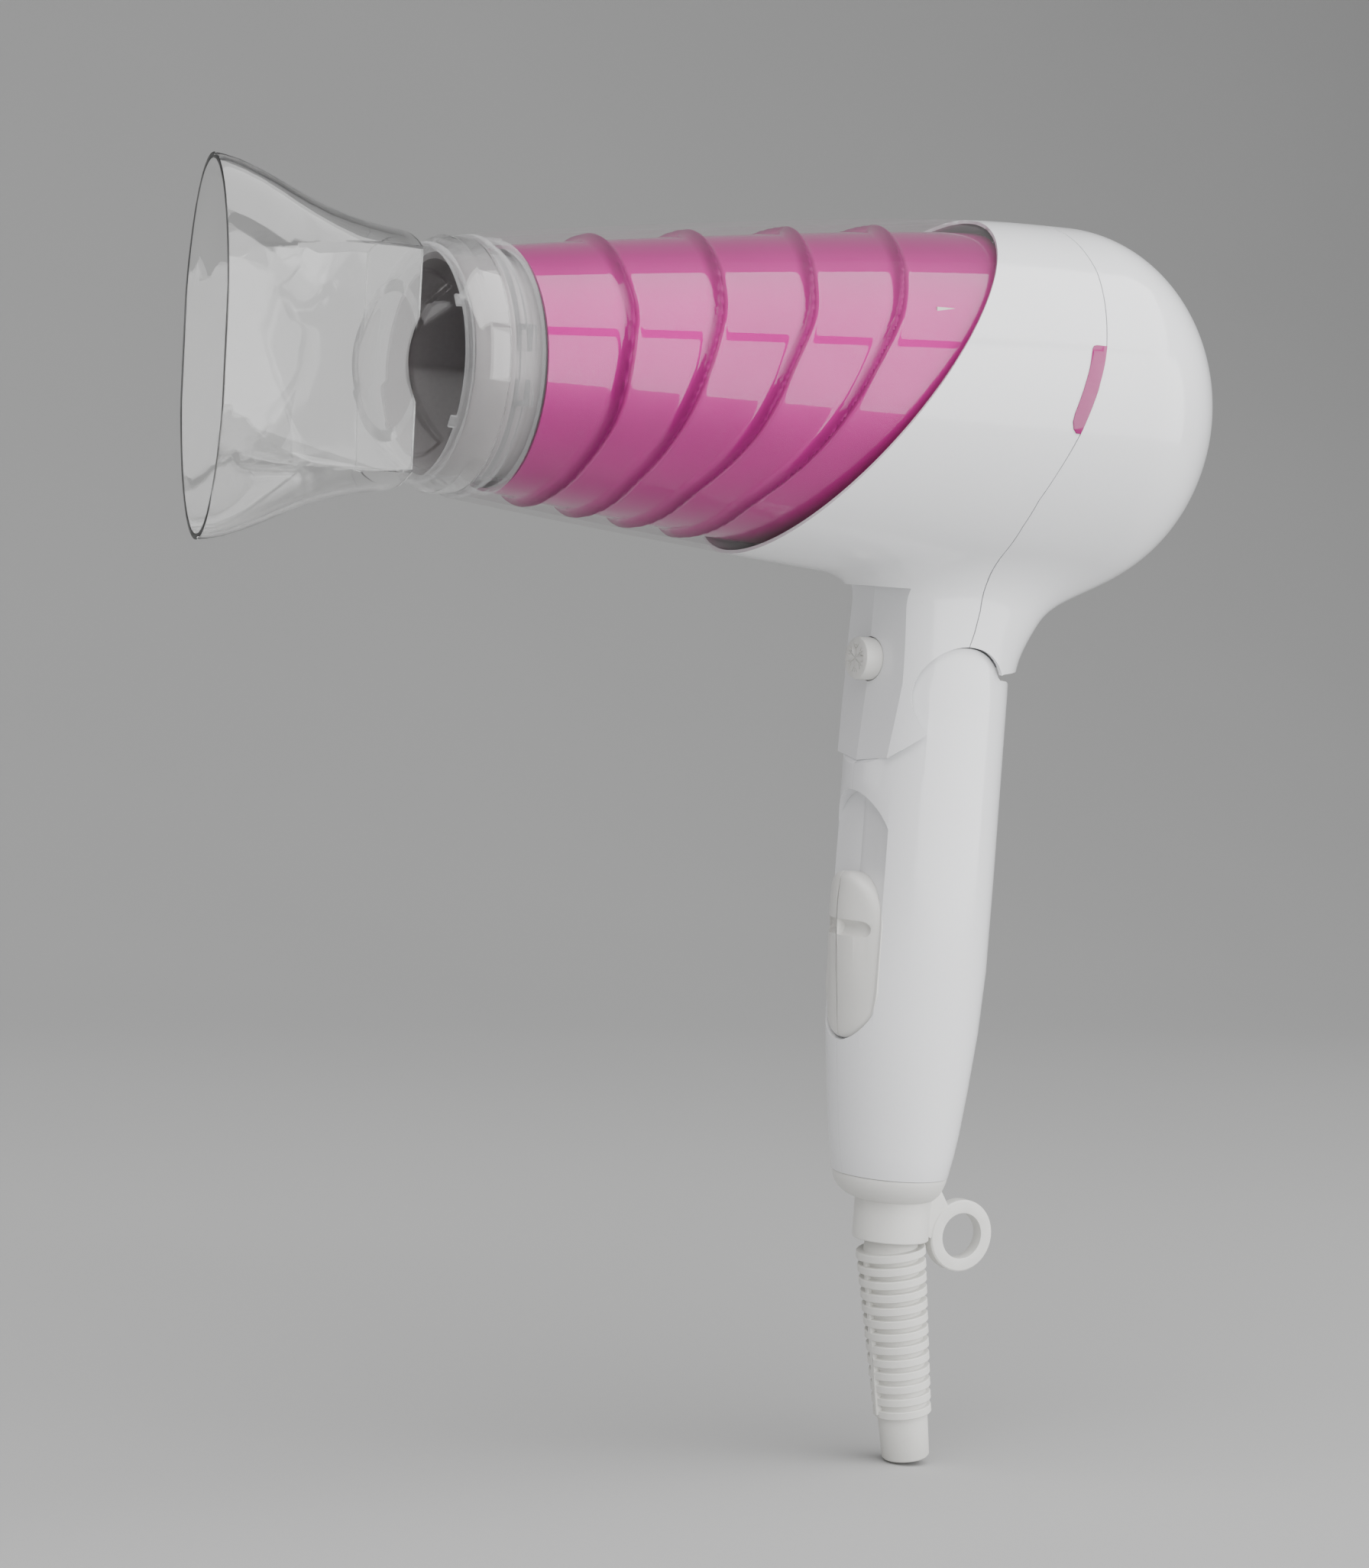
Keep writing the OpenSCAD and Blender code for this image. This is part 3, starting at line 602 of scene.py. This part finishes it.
# The fillet has no operator that can roll it along this seam, so the points are moved onto it
NECK_BOTTOM, HEAD_FRONT, PROBE = NECK[0][0] + 1.5, 68, 0.05
for vertex in head_form.data.vertices:
    x, y, z = vertex.co
    if z < NECK_BOTTOM or on_barrel(x, z)[0] < HEAD_FRONT:
        continue
    for _ in range(4):
        off = off_head(x, y, z)
        gradient = Vector((off_head(x + PROBE, y, z) - off, off_head(x, y + PROBE, z) - off,
                           off_head(x, y, z + PROBE) - off)) / PROBE
        move = -off * gradient / max(gradient.length_squared, 0.05)
        x, y, z = x + move.x, y + move.y, z + move.z
    vertex.co = (x, y, z)


def slab(name, points, near, far):
    """A side-view outline in millimetres, extruded across the dryer."""
    bpy.ops.mesh.primitive_circle_add(vertices=len(points), radius=1, fill_type="NGON")
    piece = bpy.context.object
    piece.name = name
    for vertex, (x, z) in zip(piece.data.vertices, points):
        vertex.co = (x, near, z)
    bpy.ops.object.mode_set(mode="EDIT")
    bpy.ops.mesh.extrude_region_move(TRANSFORM_OT_translate={"value": (0, far - near, 0)})
    bpy.ops.mesh.select_all(action="SELECT")
    bpy.ops.mesh.normals_make_consistent(inside=False)
    bpy.ops.object.mode_set(mode="OBJECT")
    return piece


# The two facets of the neck's front lean forward towards the handle and meet in a crease
FACET_DEEP, FACET_TOP = 3.25, 177.5
facets = slab("facets", [(-75, 118), (-42.6, 118), (-40.0, 152), (-39.8, FACET_TOP), (-75, FACET_TOP)],
              -25, 25)
bpy.ops.object.mode_set(mode="EDIT")
bpy.ops.mesh.select_all(action="SELECT")
bpy.ops.mesh.bisect(plane_co=(0, 0, 0), plane_no=(0, 1, 0))
bpy.ops.object.mode_set(mode="OBJECT")
for vertex in facets.data.vertices:
    if abs(vertex.co.y) < 0.01 and vertex.co.x > -60:
        vertex.co.x -= FACET_DEEP
carve(head_form, facets)

white = plastic("white_gloss", (0.86, 0.865, 0.88), (0.83, 0.835, 0.85), 0.13, grain=0.002, grain_size=0.4,
                Coat_Weight=0.35, Coat_Roughness=0.05)
# The seam from top to knuckle, in the side view
SEAM = [(-0.8, 300), (-1.5, 290), (-3, 265), (-7, 244.6), (-10.4, 232.6), (-14.6, 220.7), (-18.6, 210.8),
        (-21.4, 203), (-22.4, 196), (-22.5, 190), (-22.5, 181), (-23.2, 173), (-24.5, 167)]
GAP, PLAY, HOUSING_WALL = 0.17, 0.32, 0.95


def knuckle_arc(radius, start, end, step):
    """Points round the fold's pivot in the side view, between two angles in degrees."""
    return [(PIVOT.x + radius * math.cos(math.radians(a)), PIVOT.z + radius * math.sin(math.radians(a)))
            for a in range(start, end, step)]


arc = knuckle_arc(KNUCKLE_R + PLAY, 30, 226, 5)
over_front = [point for point in arc if point[0] < -26]
over_back = [point for point in arc if point[0] > -25]
arc_top = PIVOT.z + KNUCKLE_R + PLAY
front_outline = ([(x - GAP, z) for x, z in SEAM] + [(-25.9, arc_top)] + over_front
                 + [(-45.5, 129.9), (-60, 129.7), (-120, 129.7), (-119.8, 139), (-9.0, 300)])
back_outline = ([(x + GAP, z) for x, z in SEAM] + [(-25.6, arc_top)] + over_back[::-1]
                + [(-12.5, 156.3), (0, 157.5), (100, 157.5), (100, 300)])


def housing(name, outline, *bores):
    """The part of the head inside a side-view outline, as a moulding one wall thick.

    The faces that the cutters leave carry their second material, so that they can be taken out again.
    """
    piece = head_form.copy()
    piece.data = head_form.data.copy()
    piece.name = name
    bpy.context.collection.objects.link(piece)
    cutters = [(slab(name + "_outline", outline, -80, 80), "INTERSECT")]
    cutters += [(bore, "DIFFERENCE") for bore in bores]
    for thing, index in [(piece, 0)] + [(cutter, 1) for cutter, _ in cutters]:
        thing.data.materials.clear()
        thing.data.materials.append(white)
        thing.data.materials.append(pink)
        for face in thing.data.polygons:
            face.material_index = index
    for cutter, operation in cutters:
        change(piece, "BOOLEAN", operation=operation, object=cutter, solver="EXACT", material_mode="INDEX")
        bpy.data.objects.remove(cutter)
    bpy.ops.object.select_all(action="DESELECT")
    piece.select_set(True)
    bpy.context.view_layer.objects.active = piece
    bpy.ops.object.mode_set(mode="EDIT")
    bpy.ops.mesh.select_mode(type="FACE")
    bpy.ops.mesh.select_all(action="DESELECT")
    bpy.ops.object.mode_set(mode="OBJECT")
    for face in piece.data.polygons:
        face.select = face.material_index == 1
    bpy.ops.object.mode_set(mode="EDIT")
    bpy.ops.mesh.delete(type="FACE")
    bpy.ops.mesh.select_mode(type="VERT")
    bpy.ops.object.mode_set(mode="OBJECT")
    change(piece, "SOLIDIFY", thickness=HOUSING_WALL, offset=-1)
    return piece


def across_barrel(name, radius, start, end):
    """A round cutter along the barrel's axis, in millimetres."""
    piece = loft(name, [((start, 0, 0), (1, radius, radius)), ((end, 0, 0), (1, radius, radius))], count=128)
    piece.rotation_euler = (0, -TILT, 0)
    piece.location = OUTLET
    bpy.ops.object.transform_apply()
    return piece


def across_neck(name, radius, x, z, length):
    """A round cutter that points back into the neck, in millimetres."""
    return loft(name, [((x, 0, z), (1, radius, radius)), ((x + length, 0, z), (1, radius, radius))], count=64)


BUTTON_Z, BUTTON_R = 157.9, 5.8
INLET_R = 31
front_housing = housing("front_housing", front_outline,
                        across_neck("button_hole", BUTTON_R + 0.25, -55, BUTTON_Z, 18))
back_cover = housing("back_cover", back_outline, across_barrel("inlet_hole", INLET_R, 195, 240))
for shell, node in ((front_housing, "front_housing"), (back_cover, "rear_cover")):
    finish_piece(shell, white, "head", "white_gloss", node, round_edge=0.22, round_from=55, smooth=13)
bpy.data.objects.remove(head_form)


# ---- Side inlays ----
# A glossy pink sliver on each side, pressed into the front housing along the seam.
INLAY = [(-11.6, 243.6), (-11.1, 244.3), (-10.3, 244.6), (-7.0, 244.6), (-8.4, 239.3), (-10.9, 231.4),
         (-14.6, 220.9), (-15.9, 220.9), (-16.9, 222.0), (-17.4, 223.8), (-17.1, 226.0), (-15.4, 231.0),
         (-13.0, 238.1)]
INLAY_START, INLAY_END, INLAY_SUNK, INLAY_PROUD = 145, 176, 0.6, 0.3
pink_gloss = plastic("pink_trim", (0.32, 0.003, 0.14), (0.27, 0.003, 0.12), 0.12, Coat_Weight=0.4,
                     Coat_Roughness=0.04)
outside = list(range(INLAY_END, INLAY_START - 1, -3)) + [INLAY_START]
for side, word in ((-1, "left"), (1, "right")):
    inlay = lathe("inlay_" + word, [(u, barrel_r(u) - INLAY_SUNK) for u in (INLAY_START, INLAY_END)]
                  + [(u, barrel_r(u) + INLAY_PROUD) for u in outside], count=256)
    inlay.rotation_euler = (0, -TILT, 0)
    inlay.location = OUTLET
    bpy.ops.object.transform_apply()
    carve(inlay, slab("inlay_outline", INLAY, side * 30, side * 80), "INTERSECT")
    finish_piece(inlay, pink_gloss, "head", "pink_trim", "seam_trims", round_edge=0.22, round_from=50)


# ---- Air inlet ----
# A white grille of round slats on six spokes closes the back of the barrel, with a fine dust screen
# behind it that pulls out for cleaning.
def dome_u(r):
    """How far back the rounded end reaches at this radius."""
    return BARREL_END + DOME_LENGTH * math.sqrt(1 - (r / BIG_R) ** 2)


grille = lathe("inlet_grille", [(211.5, 28.9), (dome_u(28.9), 28.9), (dome_u(30.7), 30.7), (211.5, 30.7)])
for spoke in range(3):
    bpy.ops.mesh.primitive_cube_add(size=1, location=(213.2, 0, 0), rotation=(math.radians(60 * spoke), 0, 0),
                                    scale=(3, 57, 1.6))
    bpy.ops.object.transform_apply()
    carve(grille, bpy.context.object, "UNION")
SLATS, SLAT_PITCH, FIRST_SLAT = 8, 3.2, 3.4
for ring in range(SLATS):
    r = SLAT_PITCH * ring + FIRST_SLAT
    slat = lathe("slat", [(213.5, r - 0.55), (dome_u(r - 0.4) - 0.3, r - 0.45), (dome_u(r), r),
                          (dome_u(r + 0.4) - 0.3, r + 0.45), (213.5, r + 0.55)], count=96)
    carve(grille, slat, "UNION")
finish_piece(grille, white, "head", "white_gloss", "inlet_grille", round_edge=0.15, barrel=True)

screen, place = start_material("filter_mesh")
flat = place.node("ShaderNodeVectorMath", {"operation": "MULTIPLY"}, {0: place, 1: (0, 4.5, 4.5)})
thread = flat.node("ShaderNodeVectorMath", {"operation": "SINE"}, {0: flat})
across, upright = [thread.node("ShaderNodeSeparateXYZ", {}, {"Vector": thread}, output=axis)
                   for axis in (1, 2)]
weave = across * upright
# The gaps between the threads are painted near black, as painted shade for the dark inside seen through the
# screen.
close_material(screen, place,
               Base_Color=weave.between(-0.2, 0.5).tint((0.02, 0.02, 0.02), (0.34, 0.34, 0.35)),
               Metallic=0.6, Roughness=weave * 0.1 + 0.4, Normal=weave.bump(0.0001))
repaint(screen, "lint_filter")


# ---- Cool shot button ----
# A push button in warm white, with a snowflake sunk into its slightly domed face.
satin = plastic("white_satin", (0.76, 0.755, 0.725), (0.73, 0.725, 0.695), 0.36, grain=0.01, grain_size=0.35)
FACE_X = -47.6
BUTTON = [(6.4, BUTTON_R), (0.9, BUTTON_R), (0.35, BUTTON_R - 0.2), (0.1, BUTTON_R - 0.7), (0, 3.4)]
button = loft("cool_button", [((FACE_X + back, 0, BUTTON_Z), (1, r, r)) for back, r in BUTTON], count=96)
for arm in range(6):
    turn = math.radians(60 * arm)
    for along, out, half, skew in ((1.9, 0, 1.9, 0), (3.1, 0.75, 0.8, 38), (3.1, -0.75, 0.8, -38)):
        spot = Matrix.Rotation(turn, 3, "X") @ Vector((0, out, along))
        bpy.ops.mesh.primitive_cube_add(size=1, location=(FACE_X, spot.y, BUTTON_Z + spot.z),
                                        rotation=(turn - math.radians(skew), 0, 0),
                                        scale=(0.5, 0.42, 2 * half))
        bpy.ops.object.transform_apply()
        carve(button, bpy.context.object)
stem = across_neck("stem", 1.6, FACE_X + 6.2, BUTTON_Z, 6.1)
carve(button, stem, "UNION")
finish_piece(button, satin, "cool_shot", "white_satin", "cool_button", round_edge=0.08, round_from=45)


# ---- Handle ----
# Two glossy white halves screwed together; a fine line runs down the middle. The top is a knuckle that
# the neck folds round, and the front has a long sunk recess for the two switches.
# Height, front, back and half width, from the end cap up
HANDLE = [(17.9, -39.7, -8.6, 17.2), (24, -40.8, -7.2, 18.0), (30, -41.8, -6.1, 18.6),
          (42, -43.3, -4.5, 19.6), (58, -44.9, -2.6, 20.4), (75, -45.6, -1.5, 20.7), (100, -45.6, -1.4, 20.7),
          (125, -45.6, -1.5, 20.7), (150, -45.6, -1.6, 20.7), (170, -45.6, -1.7, 20.7)]


def handle_section(z, inset=0.0):
    """Front, back and half width of the handle at a height."""
    for (z0, *low), (z1, *high) in zip(HANDLE, HANDLE[1:]):
        if z <= z1:
            part = max(0.0, z - z0) / (z1 - z0)
            front, back, half = [a + (b - a) * part for a, b in zip(low, high)]
            return front + inset, back - inset, half - inset
    return HANDLE[-1][1] + inset, HANDLE[-1][2] - inset, HANDLE[-1][3] - inset


handle = loft("handle", [(((front + back) / 2, 0, z), ((back - front) / 2, half, 1))
                         for z, front, back, half in HANDLE], turn=(0, 0, 0), count=160)
HANDLE_OUTLINE = ([(-70, 10), (-70, 129.3), (-45.5, 129.5), (-36.2, 138.2)]
                  + knuckle_arc(KNUCKLE_R, 228, 27, -4)
                  + [(-12.2, 154.6), (-8, 154.3), (-4.5, 153.0), (-2.2, 150.6), (-1.2, 147.5), (20, 146),
                     (20, 10)])
carve(handle, slab("handle_outline", HANDLE_OUTLINE, -40, 40), "INTERSECT")
FLOOR_X, RECESS_W, RECESS_LOW, RECESS_HIGH, RECESS_CAP = -41, 13.6, 70, 107, 15.5


def stadium(half, low, high, cap, steps=24):
    """The front view of the recess, from the right round the top."""
    turns = [math.pi * i / steps for i in range(steps + 1)]
    return ([(half * math.cos(turn), high + cap * math.sin(turn)) for turn in turns]
            + [(-half * math.cos(turn), low - cap * math.sin(turn)) for turn in turns])


def front_plug(name, outline, x0, x1):
    """A front-view outline of [y, z] points, extruded along X."""
    piece = slab(name, outline, -x1, -x0)
    piece.rotation_euler = (0, 0, math.pi / 2)
    bpy.ops.object.transform_apply()
    return piece


carve(handle, front_plug("recess", stadium(RECESS_W, RECESS_LOW, RECESS_HIGH, RECESS_CAP), -60, FLOOR_X))
for side, word in ((-1, "left"), (1, "right")):
    half = handle.copy()
    half.data = handle.data.copy()
    half.name = "handle_" + word
    bpy.context.collection.objects.link(half)
    slice_off(half, (0, side * 0.04, 0), (0, -side, 0))
    finish_piece(half, white, "handle", "white_gloss", "handle_" + word, round_edge=0.3, round_from=40,
                 steps=3, smooth=30)
bpy.data.objects.remove(handle)


# ---- Slide switches ----
# Two warm white switch buttons side by side, speed on the left and heat on the right, with a chamfered
# rim and a rounded rib each to push with the thumb.
SLIDE_HIGH, SPLIT, AROUND = 85.5, 0.22, 0.6
# How far each ring of the pad's face lies inside its outline, and how deep it is sunk; the first is the foot
LAYERS = [(0, None), (0, 1.5), (0.25, 0.75), (0.85, 0.2), (1.7, 0.0), (3.2, 0.0), (5.0, 0.0), (7.0, 0.0),
          (9.2, 0.0), (11.4, 0.0)]
LAYER_STEP = 0.01
BULGE, BULGE_LOW, BULGE_LONG, BULGE_HALF = 2.2, 54, 53, 13.5


def bulge(y, z):
    """How far the thumb's side of the pad swells forward of the handle."""
    up = max(0.0, z - BULGE_LOW) / BULGE_LONG
    return BULGE * max(0.0, math.sin(math.pi * up ** 2)) ** 0.8 * max(0.0, 1 - (y / BULGE_HALF) ** 2)


def pad(name, side):
    """Half of an upright oval that follows the handle's front, with a chamfered rim."""
    steps, cap = 40, RECESS_CAP - AROUND
    outline = [(SPLIT + (RECESS_W - 0.75) * abs(math.sin(math.pi * i / steps)),
                (SLIDE_HIGH if i <= steps / 2 else RECESS_LOW) + cap * math.cos(math.pi * i / steps))
               for i in range(steps + 1)]
    inner_side = SLIDE_HIGH - RECESS_LOW + 2 * cap
    outline += [(SPLIT, RECESS_LOW - cap + inner_side * i / 14) for i in range(1, 14)]
    middle, span = (SLIDE_HIGH + RECESS_LOW) / 2, (SLIDE_HIGH - RECESS_LOW) / 2 + cap
    reach = RECESS_W - 0.53
    bpy.ops.mesh.primitive_circle_add(vertices=len(outline), radius=1, fill_type="NGON")
    piece = bpy.context.object
    piece.name = name
    bpy.ops.object.mode_set(mode="EDIT")
    for _ in LAYERS[1:]:
        bpy.ops.mesh.extrude_region_move(TRANSFORM_OT_translate={"value": (0, 0, LAYER_STEP)})
    bpy.ops.object.mode_set(mode="OBJECT")
    for vertex in piece.data.vertices:
        inset, sunk = LAYERS[round(vertex.co.z / LAYER_STEP)]
        angle = math.atan2(vertex.co.y, vertex.co.x) % (2 * math.pi)
        y, z = outline[round(angle / (2 * math.pi) * len(outline)) % len(outline)]
        y = SPLIT + (y - SPLIT) * (reach - inset) / reach
        z = middle + (z - middle) * (span - inset) / span
        front, back, half = handle_section(z, 0.45)
        deep = (front + back) / 2 - (back - front) / 2 * math.sqrt(max(0.0, 1 - (y / half) ** 2))
        vertex.co = (FLOOR_X - 0.05 if sunk is None else deep + sunk - bulge(y, z), side * y, z)
    bpy.ops.object.mode_set(mode="EDIT")
    bpy.ops.mesh.select_all(action="SELECT")
    bpy.ops.mesh.normals_make_consistent(inside=False)
    bpy.ops.object.mode_set(mode="OBJECT")
    return piece


# How far out each ring of the rib is, and its size against the rib's middle
RIB = [(0.25, 0.9), (0.4, 0.97), (0.7, 1), (3.5, 1), (5.5, 1), (7.5, 1), (8.6, 0.97), (9.5, 0.85),
       (10.1, 0.62), (10.5, 0.3)]
RIB_X, RIB_Z, RIB_CURVE = -46.8, 85.3, 0.034
for side, use in ((-1, "speed"), (1, "heat")):
    slider = pad(use + "_slider", side)
    rib = loft("rib", [((RIB_X + RIB_CURVE * y * y, side * y, RIB_Z), (2.3 * part, 1, 2.2 * part))
                       for y, part in RIB], turn=(math.pi / 2, 0, 0), count=48)
    carve(slider, rib, "UNION")
    finish_piece(slider, satin, use + "_button", "white_satin", use + "_slider", round_edge=0.12,
                 round_from=50, smooth=40)


# ---- End cap ----
# The warm white bowl that closes the handle below and holds the loop's collar.
# Height, front, back and half width
END_CAP = [(10.7, -33.2, -12.6, 10.4), (11.4, -35.2, -11.4, 12.6), (12.9, -37.4, -10.3, 14.7),
           (14.8, -38.7, -9.5, 16.0), (16.4, -39.3, -9.0, 16.7), (17.75, -39.5, -8.8, 17.0)]
cap = loft("end_cap", [(((front + back) / 2, 0, z), ((back - front) / 2, half, 1))
                       for z, front, back, half in END_CAP], turn=(0, 0, 0), count=128)
finish_piece(cap, satin, "handle", "white_satin", "end_cap", round_edge=0.25, round_from=40)


# ---- Hanging loop ----
# A flat ring on an arm, moulded in one piece with the collar that the strain relief passes through.
COLLAR_X = -22.3
LOOP_COLLAR = [(-0.5, 10.2), (-0.2, 10.5), (10.9, 10.5), (10.9, 9.0)]
LOOP_ARM = [(-13.5, 11.5), (-11.4, 13.4), (-8.9, 14.6), (-4.8, 8.0), (0.5, 8.6), (-4, 0), (-9.3, -1),
            (-12.5, 1)]
LOOP_RING = [(-2, 9.6), (-1.6, 10), (1.6, 10), (2, 9.6)]
ARM_HALF, EYE_R, COLLAR_BORE = 1.7, 6.4, 8.6
loop = loft("hang_loop", [((COLLAR_X, 0, z), (r, r, 1)) for z, r in LOOP_COLLAR], turn=(0, 0, 0), count=128)
carve(loop, slab("arm", LOOP_ARM, -ARM_HALF, ARM_HALF), "UNION")
ring = loft("ring", [((0, y, 0), (r, 1, r)) for y, r in LOOP_RING], turn=(math.pi / 2, 0, 0), count=96)
carve(loop, ring, "UNION")
eye = loft("eye", [((0, y, 0), (EYE_R, 1, EYE_R)) for y in (-6, 6)], turn=(math.pi / 2, 0, 0), count=96)
carve(loop, eye)
collar_bore = loft("collar_bore", [((COLLAR_X, 0, z), (COLLAR_BORE, COLLAR_BORE, 1)) for z in (-3, 20)],
                   turn=(0, 0, 0), count=96)
carve(loop, collar_bore)
finish_piece(loop, satin, "handle", "white_satin", "hang_loop", round_edge=0.3, round_from=40, steps=3)


# ---- Strain relief ----
# A soft white tube with thirteen flat ribs and a thin web down its front and back; it leans back a
# little, as the cord that leaves it would pull it.
soft = plastic("soft_white", (0.745, 0.74, 0.705), (0.70, 0.695, 0.66), 0.52, grain=0.02, grain_size=0.5)
RELIEF_TOP = Vector((COLLAR_X, 0, -0.6))
RELIEF_LEAN = math.radians(9.8)
RELIEF_RIBS, RELIEF_PITCH, CORD_R = 13, 3.72, 3.6
relief_rings = [(2.2, 6.6)]
for rib in range(RELIEF_RIBS):
    middle = -3.6 - RELIEF_PITCH * rib
    wide = 9.6 - 0.13 * rib
    core = 7.5 - 0.05 * rib
    relief_rings += [(middle + 1.12, core), (middle + 1.1, wide - 0.2), (middle + 0.9, wide),
                     (middle - 0.9, wide), (middle - 1.1, wide - 0.2), (middle - 1.12, core)]
relief_rings += [(-50.6, 6.9), (-61.3, 6.6), (-61.9, 6.1)]
relief = loft("strain_relief", [((0, 0, z), (r, r, 1)) for z, r in relief_rings], turn=(0, 0, 0), count=96)
for side in (-1, 1):
    bpy.ops.mesh.primitive_cube_add(size=1, location=(side * 7.4, 0, -25.5), scale=(2.6, 1.3, 45.5))
    bpy.ops.object.transform_apply()
    carve(relief, bpy.context.object, "UNION")
cord_bore = loft("cord_bore", [((0, 0, z), (CORD_R, CORD_R, 1)) for z in (-70, 20)], turn=(0, 0, 0), count=64)
carve(relief, cord_bore)
relief.rotation_euler = (0, -RELIEF_LEAN, 0)
relief.location = RELIEF_TOP
bpy.ops.object.select_all(action="DESELECT")
relief.select_set(True)
bpy.context.view_layer.objects.active = relief
bpy.ops.object.transform_apply()
finish_piece(relief, soft, "handle", "soft_white", "strain_relief", round_edge=0.15, round_from=50, smooth=40)


# ---- Screws, pins, switches and fan ----
# What is inside stays as the CAD has it: steel screws and hinge pin, a zinc plated motor on its mount,
# the fan wheel and three small switches.
steel = metal("bright_steel", (0.62, 0.62, 0.64), (0.46, 0.46, 0.48), 0.22)
repaint(steel, "handle_screws", "hinge_pin", "housing_screws", "button_spring", "motor_shaft",
        "thermal_cutout")
repaint(metal("motor_can", (0.52, 0.52, 0.54), (0.40, 0.40, 0.42), 0.32), "motor")
repaint(plastic("switch_black", (0.035, 0.035, 0.037), (0.05, 0.05, 0.052), 0.5, grain=0.012),
        "speed_switch", "heat_switch", "cool_switch")
repaint(plastic("natural_plastic", (0.74, 0.72, 0.65), (0.68, 0.66, 0.58), 0.4, grain=0.008), "motor_mount",
        "impeller")
